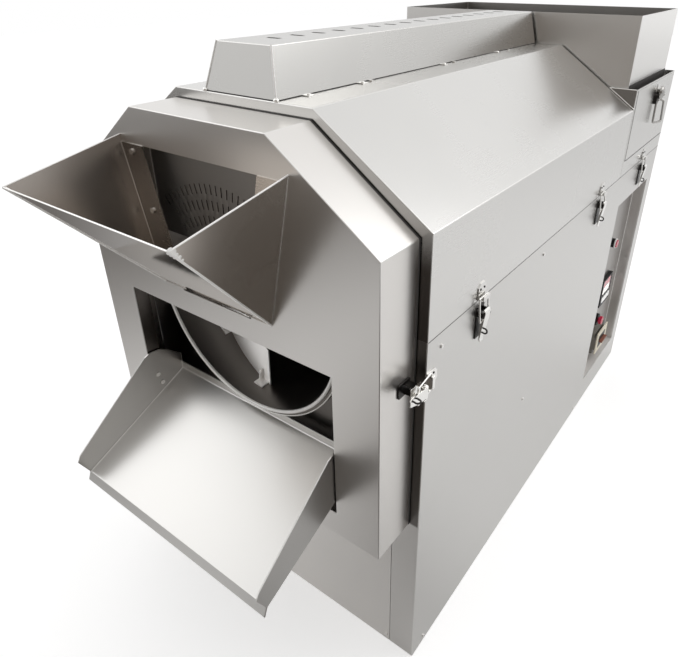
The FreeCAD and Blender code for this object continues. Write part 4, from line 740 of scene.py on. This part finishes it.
def spin_closed(bm, geom, centre, axis, steps):
    bmesh.ops.spin(bm, geom=geom, cent=centre, axis=axis, angle=2 * pi, steps=steps,
                   use_merge=True, use_duplicate=False)
    bmesh.ops.remove_doubles(bm, verts=bm.verts, dist=WELD_WITHIN)
    bmesh.ops.recalc_face_normals(bm, faces=bm.faces)
    return bm


def turned(outline, centre, axis, steps):
    bm = bmesh.new()
    axis = Vector(axis).normalized()
    out = axis.orthogonal().normalized()
    dots = [bm.verts.new(Vector(centre) + out * r + axis * along) for r, along in outline]
    lines = [bm.edges.new(pair) for pair in zip(dots, dots[1:])]
    return spin_closed(bm, dots + lines, centre, axis, steps)


def ring(centre, axis, radius, wire, steps, round_steps):
    bm = bmesh.new()
    axis = Vector(axis).normalized()
    out = axis.orthogonal().normalized()
    turn = Matrix((out, axis, out.cross(axis))).transposed().to_4x4()
    made = bmesh.ops.create_circle(
        bm, segments=round_steps, radius=wire,
        matrix=Matrix.Translation(Vector(centre) + out * radius) @ turn)
    return spin_closed(bm, made["verts"] + bm.edges[:], centre, axis, steps)


def bent_wire(name, corners, radius, bend, mat, body, closed=False):
    data = bpy.data.curves.new(name, "CURVE")
    data.dimensions = "3D"
    data.bevel_depth = radius
    data.bevel_resolution = 3
    data.resolution_u = 8
    data.use_fill_caps = True
    corners = [Vector(c) for c in corners]
    points = [] if closed else [corners[0]]
    loop = list(zip(corners[-1:] + corners, corners, corners[1:] + corners[:1]))
    for before, corner, after in (loop if closed else loop[1:-1]):
        points += [corner.lerp(before, bend / (corner - before).length), corner,
                   corner.lerp(after, bend / (corner - after).length)]
    if not closed:
        points.append(corners[-1])
    spline = data.splines.new("NURBS")
    spline.points.add(len(points) - 1)
    for dot, place in zip(spline.points, points):
        dot.co = (*place, 1)
    spline.order_u = 3
    spline.use_endpoint_u = not closed
    spline.use_cyclic_u = closed
    data.materials.append(mat)
    obj = bpy.data.objects.new(name, data)
    show(obj)
    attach(obj, body)
    return obj


print("helpers ready")

# %% [markdown]
# A toggle latch has four parts. Its foot is riveted to one sheet and carries a pin. A pressed
# lever swings on that pin; it is a shallow channel that narrows towards its finger end, and a
# small eye on it takes a padlock. A wire bail swings on the lever and hooks over the keeper on
# the other sheet. Three of these hold the hood and deck down, and a fourth, shorter one lies
# on its side and holds the front cover. The lever is drawn as one strip of its outline, drawn
# out sideways, flanged along both sides, and then given its thickness.

# %% Latch places
BODY_HALF = 0.360
LATCH_PLACE = {"front": (BODY_HALF, -0.5265, 0.762), "rear": (BODY_HALF, 0.1205, 0.762),
               "deck": (BODY_HALF, 0.5075, 0.762), "cover": (BODY_HALF, -0.7235, 0.717)}
LEVER_LENGTH = {"front": 0.058, "rear": 0.058, "deck": 0.058, "cover": 0.036}
PIN_OUT = 0.012


def latch_axes(site):
    turn = Matrix.Rotation(-pi / 2, 4, "X") if site == "cover" else Matrix.Identity(4)
    return Matrix.Translation(LATCH_PLACE[site]) @ turn


def onto_latch(site, bm):
    bmesh.ops.transform(bm, matrix=latch_axes(site), verts=bm.verts)
    return bm


def rivet(place, axis, radius=0.0022, height=0.0012):
    dome = [(0, 0), (radius, 0), (radius * 0.96, height * 0.45), (radius * 0.75, height * 0.8),
            (radius * 0.4, height * 0.97), (0, height)]
    return turned(dome, place, axis, 16)


def pin(radius, half, steps):
    outline = [(0, -half), (radius, -half), (radius, half), (0, half)]
    return turned(outline, (PIN_OUT, 0, 0), (0, 1, 0), steps)


print("latches", len(LATCH_PLACE), "longest lever", max(LEVER_LENGTH.values()))

# %% Levers
LEVER_HALF = 0.0102
LEVER_SHEET = 0.0014
FLANGE_DEPTH = 0.0042
CROWN_OUT = 0.0166
LEVER_SLOPE = 0.010 / 0.065
FINGER = 0.007


def lever_shape(length):
    bm = bmesh.new()
    fall = LEVER_SLOPE * (length + FINGER)
    middle = [(0.0120, 0.0095, 0.84), (0.0150, 0.0080, 0.95), (CROWN_OUT, 0.0045, 1.0),
              (CROWN_OUT - LEVER_SLOPE * length * 0.55, -length * 0.5, 0.95),
              (0.0170 - fall * 0.9, -length * 0.88, 0.72), (0.0172 - fall * 0.86, -length, 0.5)]
    left = [bm.verts.new((u, -LEVER_HALF * wide, w)) for u, w, wide in middle]
    lines = [bm.edges.new(pair) for pair in zip(left, left[1:])]
    drawn = bmesh.ops.extrude_edge_only(bm, edges=lines)
    for v in drawn["geom"]:
        if isinstance(v, bmesh.types.BMVert):
            v.co.y = -v.co.y
    sides = []
    for e in bm.edges:
        start, end = (v.co for v in e.verts)
        along = abs(start.y - end.y) < 0.004 and abs(start.z - end.z) > 0.001
        if len(e.link_faces) == 1 and along and min(start.z, end.z) < 0.006:
            sides.append(e)
    flange = bmesh.ops.extrude_edge_only(bm, edges=sides)
    for v in flange["geom"]:
        if isinstance(v, bmesh.types.BMVert):
            v.co.x -= FLANGE_DEPTH * (1.0 if v.co.z > -length * 0.6 else 0.55)
    bmesh.ops.recalc_face_normals(bm, faces=bm.faces)
    bmesh.ops.solidify(bm, geom=bm.faces[:], thickness=LEVER_SHEET)
    bmesh.ops.recalc_face_normals(bm, faces=bm.faces)
    round_edges(bm, sharp_edges(bm, 35), 0.0004, 2)
    return bm


for site, length in LEVER_LENGTH.items():
    body, node = site + "_lever", site + "_latch_lever"
    shape = gather(lever_shape(length), pin(0.0022, 0.0118, 20))
    lever = crisp_piece(body + "_plate", onto_latch(site, shape), bright_zinc, body)
    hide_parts(node)
    eye_spot = (CROWN_OUT - 0.154 * length * 0.6 + 0.0015, 0, -length * 0.62)
    eye = ring(eye_spot, (0, 1, 0), 0.0050, 0.0015, 24, 8)
    place_piece(body + "_eye", onto_latch(site, eye), dark_zinc_and_shade, body)
print("levers", len(LEVER_LENGTH))

# %% Bails
WIRE = 0.0017
WIRE_BEND = 0.0045
BAIL_HALF, HOOK_HALF = 0.016, 0.0075
SIDE_PATH = ((0.010, -0.013), (0.0075, 0.012), (0.00575, 0.031))
bail_path = [(SIDE_PATH[0][0], -HOOK_HALF, SIDE_PATH[0][1])]
bail_path += [(out, -BAIL_HALF, up) for out, up in SIDE_PATH]
bail_path += [(out, -across, up) for out, across, up in reversed(bail_path)]
for site in LATCH_PLACE:
    corners = [latch_axes(site) @ Vector(p) for p in bail_path]
    bail = bent_wire(site + "_bail_wire", corners, WIRE, WIRE_BEND, bright_zinc, site + "_bail")
    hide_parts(site + "_latch_bail")
print("bails", len(LATCH_PLACE))

# %% Keeper rivets
for site, body, slot_name in (
        ("front", "hood", "hood_hardware"), ("rear", "hood", "hood_hardware"),
        ("deck", "deck", "deck_hardware"), ("cover", "machine", "cover_keeper")):
    pair = [rivet((0.002, across, 0.045), (1, 0, 0)) for across in (-0.0068, 0.0068)]
    bm = onto_latch(site, joined(*pair))
    place_piece(site + "_keeper_rivets", bm, dark_zinc_and_shade, body)
print("keeper rivets", 2 * len(LATCH_PLACE))

# %% [markdown]
# The cover stands 20 mm inside the line of the body, so its latch sits on a small bracket that
# brings it out to the keeper. Ours is a bent strip: a foot on the cover, a leg, and a top that
# carries the two ears for the pin. It is short, so that most of the latch seems to float. Its
# foot and leg are near black, which is painted shade round the foot of the latch.

# %% Cover latch bracket
bracket = gather(
    soft_block((-0.0195, -0.0130, -0.024), (-0.0175, 0.0130, 0.008), 0.003, RIM),
    soft_block((-0.0185, -0.0090, -0.010), (0.0010, -0.0074, 0.004), 0, RIM),
    soft_block((-0.0185, 0.0074, -0.010), (0.0010, 0.0090, 0.004), 0, RIM))
ears = gather(
    soft_block((0.0002, -0.0125, -0.020), (0.0018, 0.0125, 0.008), 0.003, RIM),
    soft_block((0.0012, -0.0128, -0.005), (0.0160, -0.0112, 0.005), 0, RIM),
    soft_block((0.0012, 0.0112, -0.005), (0.0160, 0.0128, 0.005), 0, RIM),
    pin(0.002, 0.0132, 16))
crisp_piece("cover_latch_ears", onto_latch("cover", ears), bright_zinc, "cover")
# Painted shade: the foot and leg are near black.
bracket_piece = crisp_piece(
    "cover_latch_bracket", onto_latch("cover", bracket),
                 dark_zinc_and_shade, "cover")
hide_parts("cover_latch_base")
print("bracket", bracket_piece.name)

# %% [markdown]
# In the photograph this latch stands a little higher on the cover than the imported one. Its
# pin is upright, so it may be raised along the pin without changing how it swings. The place
# of the latch above already has the right height, and the keeper on the body follows here.

# %% Cover keeper
COVER_KEEPER_RISE = 0.015
raised = folded("cover_keeper", bright_zinc, fold=0, rim=0.0002, name="cover_keeper_plate")
raised.data.transform(Matrix.Translation((0, 0, COVER_KEEPER_RISE)))
print("cover keeper raised", COVER_KEEPER_RISE)

# %% [markdown]
# The flue box has its own hold: a round pressed boss with a wire ring hanging from it. The
# ring is wider at its foot and leans out a little, so that a hook can catch it. A small block
# beside the boss is near black, which is painted shade.

# %% Flue ring and boss
FLUE_LATCH = Vector((BODY_HALF, 0.5145, 0.950))
RING_WIRE, RING_BEND = 0.0029, 0.013
RING_PATH = ((0.006, -0.008, 0.005), (0.007, -0.016, 0.003), (0.009, -0.019, -0.055),
             (0.022, 0.019, -0.055), (0.019, 0.016, 0.003), (0.006, 0.008, 0.005))
BOSS_OUTLINE = ((0, 0), (0.0100, 0), (0.0100, 0.0060), (0.0175, 0.0080), (0.0185, 0.0110),
                (0.0170, 0.0150), (0.0120, 0.0180), (0, 0.0190))
flue_ring = bent_wire(
    "flue_ring_wire", [FLUE_LATCH + Vector(p) for p in RING_PATH], RING_WIRE,
    RING_BEND, mid_zinc, "flue_bail")
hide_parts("flue_latch_bail")
boss_spot = FLUE_LATCH + Vector((0.002, -0.006, 0.026))
boss = turned(BOSS_OUTLINE, boss_spot, (1, 0, 0), 36)
gather(boss, *[rivet(boss_spot + Vector(spot), (1, 0, 0), 0.0026, 0.003)
               for spot in ((0.0172, -0.0070, 0.004), (0.0172, 0.0050, -0.006))])
crisp_piece("flue_latch_boss", boss, mid_zinc, "deck")
# Painted shade: a near-black block where the boss casts its shadow.
clamp = soft_block(
    FLUE_LATCH + Vector((0, -0.026, -0.004)), FLUE_LATCH + Vector((0.009, -0.002, 0.024)),
    0.006, 0.0006)
crisp_piece("flue_latch_shade_block", clamp, dark_zinc_and_shade, "deck")
print("flue ring hangs to", round(FLUE_LATCH.z - 0.055, 3))

# %% [markdown]
# Where two sheets meet there is a thin dark line. On the flat sides it is a strip of rubber in
# the joint between the body and the hood. Under the foot of the deck's outer skin, which stands
# a sheet's thickness proud, and round the foot of the duct, the black strip is painted shadow.
# These are real strips, a fraction of a millimetre proud.

# %% Seam strips
SEAM_TOP = 0.787
SEAM_FOOT = SEAM_TOP - 0.0009
SEAM_END, BODY_REAR = 0.6970, 0.6975
PROUD = 0.0003


def side_strip(side, inner, outer, front, rear, foot, top):
    near, far = sorted((side * inner, side * outer))
    return soft_block((near, front, foot), (far, rear, top))


seams = joined(
    *[side_strip(side, BODY_HALF, BODY_HALF + PROUD, -SEAM_END, SEAM_END,
                              SEAM_FOOT, SEAM_TOP) for side in (-1, 1)],
    soft_block((-0.358, BODY_REAR, SEAM_FOOT), (0.358, BODY_REAR + PROUD, SEAM_TOP)))
place_piece("body_seam_rubber", seams, seam_rubber_and_shadow, "machine", False)
CROWN_Z = 1.1050
DUCT_HALF, DUCT_FRONT, DUCT_REAR = 0.0794, -0.6945, 0.2840
# Painted shadow: a black strip round the foot of the duct.
foot = joined(
    soft_block((-DUCT_HALF, DUCT_FRONT - PROUD, CROWN_Z), (DUCT_HALF, DUCT_FRONT, CROWN_Z + 0.0014)),
    *[side_strip(side, DUCT_HALF - 0.0004, DUCT_HALF + PROUD, DUCT_FRONT, DUCT_REAR,
                 CROWN_Z, CROWN_Z + 0.0013) for side in (1, -1)])
place_piece("duct_foot_shadow", foot, seam_rubber_and_shadow, "hood", False)
print("seam at", SEAM_TOP, "duct foot at", CROWN_Z)

# %% Deck skins
SKIN_FOOT, SKIN_TOP = 0.8305, 1.0085
SKIN_FRONT, SKIN_REAR = 0.2995, 0.6880
SKIN_INNER, SKIN_OUTER = 0.3598, 0.3609
skins = [side_strip(side, SKIN_INNER, SKIN_OUTER, SKIN_FRONT, SKIN_REAR, SKIN_FOOT, SKIN_TOP)
         for side in (-1, 1)]
# Painted shadow: a black strip under the foot of each skin.
skin_shadows = [side_strip(side, SKIN_INNER, SKIN_OUTER + 0.0002, SKIN_FRONT, SKIN_REAR, SKIN_FOOT - 0.0022, SKIN_FOOT)
        for side in (-1, 1)]
crisp_piece("deck_side_skins", joined(*skins), deck_steel, "deck")
place_piece("deck_skin_shadow", joined(*skin_shadows), seam_rubber_and_shadow, "deck", False)
band_screw = rivet((BODY_HALF, 0.4550, 0.8060), (1, 0, 0), 0.0042, 0.0030)
place_piece("deck_band_screws", band_screw, bright_zinc, "deck")
print("deck skins", round(SKIN_TOP - SKIN_FOOT, 4), "m high")

# %% [markdown]
# The hopper is welded from four cut sheets. The welds are ground down, but they stay visible
# as bright beads along its outer edges, and a row of small tack spots runs just under the lip
# of its right wall. Along the lip a bright bead is a painted highlight. Each bead is a thin
# rough tube half sunk in the edge; the tacks are flat discs.

# %% Hopper welds
MIRRORED = (("right", Vector((1, 1, 1))), ("left", Vector((-1, 1, 1))))
LIP, ROOT = Vector((0.1896, -0.9912, 1.0002)), Vector((0.1896, -0.7932, 1.0382))
FOOT = Vector((0.1318, -0.7942, 0.7834))
TACKS, TACK_DROP = 26, 0.0055
PATCH_DOTS = ((0.000, 0.0048), (0.004, 0.0056), (0.010, 0.0044), (0.015, 0.0034), (0.021, 0.0026))
RIDGE_LENGTH = 0.23


def weld_and_highlight_line(name, start, end, radius, mat, body):
    return bent_wire(name, [start, Vector(start).lerp(Vector(end), 0.5), end], radius, 0.004, mat,
                     body)


for tag, flip in MIRRORED:
    for name, end, radius in (("ridge_weld_", FOOT, 0.0017), ("lip_highlight_", ROOT, 0.0013)):
        weld_and_highlight_line("hopper_" + name + tag, LIP * flip, end * flip, radius, ground_edge_and_highlight, "cover")
weld_and_highlight_line("hopper_root_weld_right", ROOT - Vector((0.0004, 0, 0.002)), FOOT + Vector((0.0005, 0, 0.002)),
          0.0009, weld_steel, "cover")
wall_out = (FOOT - LIP).cross(ROOT - LIP).normalized()
if wall_out.x < 0:
    wall_out = -wall_out
down_wall, along_lip = (FOOT - ROOT).normalized(), (ROOT - LIP).normalized()
tacks = joined(*[rivet(LIP.lerp(ROOT, (count + 0.8) / TACKS) + down_wall * TACK_DROP,
                                    wall_out, 0.0013, 0.0004) for count in range(TACKS)])
place_piece("hopper_tack_spots", tacks, ground_edge_and_highlight, "cover")
patch = bmesh.new()
for dot, (reach, size) in enumerate(PATCH_DOTS):
    spot = LIP.lerp(FOOT, reach / RIDGE_LENGTH) + along_lip * (0.002 + 0.001 * (dot % 2))
    gather(patch, rivet(spot, wall_out, size, 0.0008))
place_piece("hopper_corner_patch", patch, ground_edge_and_highlight, "cover")
print("tacks", TACKS)

# %% [markdown]
# The drum's mouth is rolled over a wire, which stiffens it and leaves no sharp edge where the
# roasted seed falls out. A second bead stands on the outer ring. The mouth bead is near white,
# which is a painted highlight, and the ring bead is bright zinc. Both are plain rings about
# the drum's axis, so they turn with it.

# %% Drum beads
DRUM_HEIGHT = 0.752
for name, front, radius, wire, round_steps, mat in (
        ("drum_mouth_bead", -0.7400, 0.2180, 0.0034, 10, ground_edge_and_highlight),
        ("drum_ring_bead", -0.7372, 0.2272, 0.0016, 8, keeper_zinc)):
    bead = ring((0, front, DRUM_HEIGHT), (0, 1, 0), radius, wire, 128, round_steps)
    crisp_piece(name, bead, mat, "drum")
    print(name, "across", 2 * radius)

# %% [markdown]
# The controls sit in the recess on the right. From the top: a signal lamp with a pale bezel
# round a red lens, a temperature controller with a black frame and a red reading, a red stop
# button, and the main breaker behind a cream plate with a dark window.

# %% Control materials
black_plastic = plastic("black_plastic", (0.012, 0.012, 0.013), 0.42)
black_plastic.node_tree.nodes["Principled BSDF"].inputs["Specular IOR Level"].default_value = 0.2
red_lens = plastic("red_lens", (0.50, 0.03, 0.07), 0.18, 0.1, 300.0, glow=0.12)
red_plastic = plastic("red_plastic", (0.60, 0.02, 0.07), 0.30)
cream_plastic = plastic("cream_plastic", (0.80, 0.745, 0.60), 0.45)
white_plastic = plastic("white_plastic", (0.86, 0.86, 0.84), 0.4)
# Painted light: the keys glow a little, though they hold no lamp.
key_plastic_glowing = plastic("key_plastic_glowing", (0.84, 0.84, 0.83), 0.4, glow=0.35)
display_glass = plastic("display_glass", (0.20, 0.12, 0.125), 0.12, 0.1, 300.0, glow=0.6)
reading_red = plastic("reading_red", (0.62, 0.30, 0.33), 0.3, glow=0.7)
reading_white = plastic("reading_white", (0.85, 0.86, 0.84), 0.3, glow=0.5)
toggle_red = plastic("toggle_red", (0.26, 0.085, 0.05), 0.38)

# %% Lamp bezel and breaker window
bezel = ring((0.3385, 0.4985, 0.514), (1, 0, 0), 0.0138, 0.0026, 40, 10)
crisp_piece("lamp_bezel", bezel, white_plastic, "machine")
window = soft_block((0.3538, 0.4690, 0.1400), (0.3546, 0.5340, 0.1850), 0.003, 0.0002)
crisp_piece("breaker_window", window, black_plastic, "machine")
plate = soft_block((0.3505, 0.4495, 0.1220), (0.3540, 0.5555, 0.2040), 0.005, 0.0006)
crisp_piece("breaker_frame", plate, cream_plastic, "machine")
print("bezel, window and breaker plate placed")

# %% [markdown]
# The display shows two plain readings. Each figure is made of lit bars, as on the real one,
# and the bars stand a little proud of the glass so that they never sink into it. The four
# keys below are one moulded row, and their faint glow is painted light.

# %% Display readings
# Which of the seven bars are lit, counted from the top, clockwise, with the middle last
LIT_BARS = {"2": (0, 1, 3, 4, 6), "1": (1, 2), "0": (0, 1, 2, 3, 4, 5)}
BAR_BACK, BAR_FRONT = 0.3379, 0.3384
KEY_PITCH, KEY_COUNT = 0.0195, 4


def seven_bars(figures, left, low, wide, bar, pitch, tall=0.0165):
    bm = bmesh.new()
    for spot, figure in enumerate(figures):
        start = left + spot * pitch
        end, mid, top = start + wide, low + tall / 2, low + tall
        bars = ((start, end, top, top), (end, end, mid, top), (end, end, low, mid), (start, end, low, low),
                (start, start, low, mid), (start, start, mid, top), (start, end, mid, mid))
        for number in LIT_BARS[figure]:
            y0, y1, z0, z1 = bars[number]
            gather(bm, soft_block((BAR_BACK, y0 - bar / 2, z0 - bar / 2),
                                  (BAR_FRONT, y1 + bar / 2, z1 + bar / 2), 0, 0.0001))
    return bm


place_piece("display_reading", seven_bars("210", 0.4690, 0.3715, 0.0105, 0.0028, 0.0190), reading_red,
            "machine")
place_piece("display_setting", seven_bars("200", 0.4660, 0.3465, 0.0125, 0.0052, 0.0210), reading_white,
            "machine")
keys = [soft_block((0.3388, 0.4585 + step * KEY_PITCH, 0.3150), (0.3412, 0.4735 + step * KEY_PITCH, 0.3325),
                   0.002, RIM) for step in range(KEY_COUNT)]
crisp_piece("controller_key_caps", joined(*keys), key_plastic_glowing, "machine")
print("keys", KEY_COUNT)

# %% [markdown]
# The deck's front wall rises over the slope of the hood, and the fitter ran a weld along the
# joint. Along the wall's rim a bright bead is a painted highlight. Both are thin beads, made
# as the hopper's are.

# %% Deck corner beads
RIM_Z = 1.0118
CORNER = Vector((0.3590, 0.2868, RIM_Z))
SHOULDER = Vector((0.3592, 0.2862, 0.9655))
SLOPE_RUN, SLOPE_RISE = 0.360 - 0.152, 1.105 - 0.963
rim_end = SHOULDER + Vector((-SLOPE_RUN, 0, SLOPE_RISE)) * ((RIM_Z - SHOULDER.z) / SLOPE_RISE)
for tag, flip in MIRRORED:
    weld_and_highlight_line("deck_slope_weld_" + tag, SHOULDER * flip, rim_end * flip, 0.0016, bright_zinc, "deck")
    weld_and_highlight_line("deck_rim_highlight_" + tag, rim_end * flip, CORNER * flip, 0.0012, bright_zinc, "deck")
print("deck bead", round((rim_end - SHOULDER).length, 3))

# %% [markdown]
# The duct is folded from one sheet and welded at its two front corners, and small tabs hold it
# to the crown of the hood. Its slots are punched, and a thin black strip under each slot is
# painted shade, so that the slots show dark.

# %% Duct welds and tabs
DUCT_WELD = ((0.0790, -0.6943, 1.1062), (0.0596, -0.6767, 1.1808))
TAB_SPOTS = (-0.630, -0.490, -0.210, 0.040)
TAB_INNER, TAB_OUTER, TAB_HALF, TAB_TOP = 0.0785, 0.0925, 0.008, 1.1066
CORNER_FOOT = ((0, 0), (0.0042, 0), (0.0048, 0.0016), (0.0036, 0.0044), (0, 0.0052))
SLOT_FIRST, SLOT_PITCH, SLOT_COUNT = -0.6055, 0.055, 16
for tag, flip in MIRRORED:
    start, end = (Vector(p) * flip for p in DUCT_WELD)
    weld_and_highlight_line("duct_corner_weld_" + tag, start, end, 0.0015, ground_edge_and_highlight, "hood")
tabs = bmesh.new()
for side in (-1, 1):
    near, far = sorted((side * TAB_INNER, side * TAB_OUTER))
    for spot in TAB_SPOTS:
        gather(tabs, soft_block((near, spot - TAB_HALF, CROWN_Z), (far, spot + TAB_HALF, TAB_TOP), 0.002, RIM, 2),
               rivet((side * 0.0870, spot, 1.1064), (0, 0, 1), 0.0032, 0.0024))
    gather(tabs, turned(CORNER_FOOT, (side * DUCT_WELD[0][0], DUCT_FRONT, CROWN_Z), (0, 0, 1), 16))
crisp_piece("duct_tabs", tabs, bright_zinc, "hood")
slot_shade_strips = joined(*[soft_block((-0.0205, spot + 0.0025, 1.1809), (0.0065, spot + 0.0060, 1.1813))
                              for spot in (SLOT_FIRST + SLOT_PITCH * count for count in range(SLOT_COUNT))])
place_piece("duct_slot_shade", slot_shade_strips, seam_rubber_and_shadow, "hood", False)
print("tabs", 2 * len(TAB_SPOTS), "slot_shade_strips", SLOT_COUNT)

# %% [markdown]
# The front cover closes on a dark rubber seal, which shows as a black line all the way round
# its rear rim. It is one closed cord that follows the cover's outline.

# %% Cover seal
COVER_OUTLINE = (
    (0.340, 0.3895), (0.340, 0.952), (0.150, 1.088), (-0.150, 1.088), (-0.340, 0.952),
    (-0.340, 0.3895))
seal = bent_wire(
    "cover_seal", [(x, -0.6997, z) for x, z in COVER_OUTLINE], 0.0013, 0.002, seam_rubber_and_shadow,
    "cover", closed=True)
print("seal", seal.name)

# %% [markdown]
# The tray is bent up along both sides and its cut edges are ground. Along the fold at the foot
# of each wall and along the wall's top edge, a thin bright bead is a painted highlight.

# %% Tray edges
TRAY_HIGHLIGHTS = (("tray_fold_highlight_", (0.2442, -0.7195, 0.5012), (0.2442, -0.9655, 0.3903)),
              ("tray_top_highlight_", (0.2460, -0.9775, 0.4381), (0.2460, -0.8030, 0.5719)))
for tag, flip in MIRRORED:
    for name, start, end in TRAY_HIGHLIGHTS:
        weld_and_highlight_line(name + tag, Vector(start) * flip, Vector(end) * flip, 0.0011, ground_edge_and_highlight, "cover")
print("tray lines", 2 * len(TRAY_HIGHLIGHTS))

# %% [markdown]
# The flue box is dropped over the deck's opening. Along both sides of its foot a thin black
# strip is painted shadow.

# %% Flue box foot
FLUE_HALF, FLUE_FRONT, FLUE_REAR = 0.336, 0.2945, 0.6775
flue_shadow = joined(
    *[side_strip(side, FLUE_HALF - 0.0003, FLUE_HALF + 0.0004, FLUE_FRONT, FLUE_REAR,
                              0.9970, 1.0190) for side in (-1, 1)])
place_piece("flue_foot_shadow", flue_shadow, seam_rubber_and_shadow, "deck", False)
print("flue foot", round(FLUE_REAR - FLUE_FRONT, 3), "m long")

# %% [markdown]
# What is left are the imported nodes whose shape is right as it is. The drum is dull steel with a
# brown bloom from the heat, its flight is scoured bright by the seed, and everything that lies
# inside the insulated box is dark. The motor is painted, the gearbox and bearings are cast.

# %% Materials for the remaining nodes
fitting_steel = steel("fitting_steel", (0.66, 0.65, 0.635), NO_GRAIN, 0.05, 0.08, 0.24)
screw_steel = steel("screw_steel", (0.80, 0.79, 0.77), NO_GRAIN, 0.05, 0.08, 0.18)
drum_steel = steel("drum_steel", (0.19, 0.175, 0.16), NO_GRAIN, 0.04, 0.12, 0.36)
flight_steel = plastic("flight_steel", (0.86, 0.845, 0.825), 0.36, 0.10, 260.0, metallic=0.45)
oven_steel = steel("oven_steel", (0.07, 0.064, 0.058), NO_GRAIN, 0.05, 0.3, 0.45)
motor_paint = plastic("motor_paint", (0.10, 0.16, 0.22), 0.35, 0.2, 260.0)
cast_metal = plastic("cast_metal", (0.30, 0.30, 0.29), 0.45, 0.3, 180.0, metallic=0.9, depth=0.0002)
blanket = plastic("insulation_blanket", (0.55, 0.53, 0.48), 0.9, 0.4, 90.0, depth=0.0015)
heater_sheath = plastic("heater_sheath", (0.09, 0.075, 0.07), 0.5, 0.4, 200.0, metallic=0.8)
roller_steel = plastic("roller_steel", (0.35, 0.34, 0.33), 0.35, 0.3, 200.0, metallic=0.95)
# Painted shade: the breaker's case is dark grey so that its side reads as the recess's shade.
breaker_case_shaded = plastic("breaker_case_shaded", (0.20, 0.19, 0.165), 0.45)
finish = {}
for mat, names in (
        (flight_steel, "drum_flight"), (drum_steel, "drum_shell drum_shaft"),
        (oven_steel, "hood_liner lower_liner bulkhead base_frame drum_rear_disc"),
        (blanket, "lower_insulation hood_insulation"), (heater_sheath, "heating_elements"),
        (motor_paint, "drive_motor"), (cast_metal, "gearbox rear_bearing"),
        (roller_steel, "support_roller_left support_roller_right roller_pins"),
        (screw_steel, "panel_screws duct_screws cover_screws"),
        (fitting_steel, "hinge_leaves cover_hinges"), (dark_zinc_and_shade, "latch_bases"),
        (keeper_zinc, "hood_hardware deck_hardware"),
        (black_plastic, "temperature_controller indicator_lamp stop_button_base"),
        (display_glass, "controller_display"), (white_plastic, "controller_keys"),
        (red_lens, "lamp_lens"), (red_plastic, "stop_button"), (breaker_case_shaded, "breaker"),
        (toggle_red, "breaker_toggle")):
    finish.update({name: mat for name in names.split()})
for name, mat in finish.items():
    nodes[name].data.materials.clear()
    nodes[name].data.materials.append(mat)
bare = [n for n in nodes if n not in finish and not nodes[n].hide_render]
print("finished nodes", len(finish), "without a finish", bare)

# %% [markdown]
# The flight deep in the drum is scoured bright, but hardly any light reaches it through the
# mouth. The small lamp in front of the mouth is linked to the flight alone, so that it lights
# nothing else.

# %% Light for the flight
drum_light = bpy.data.collections.new("drum_light")
drum_light.objects.link(nodes["drum_flight"])
mouth_lamp.light_linking.receiver_collection = drum_light
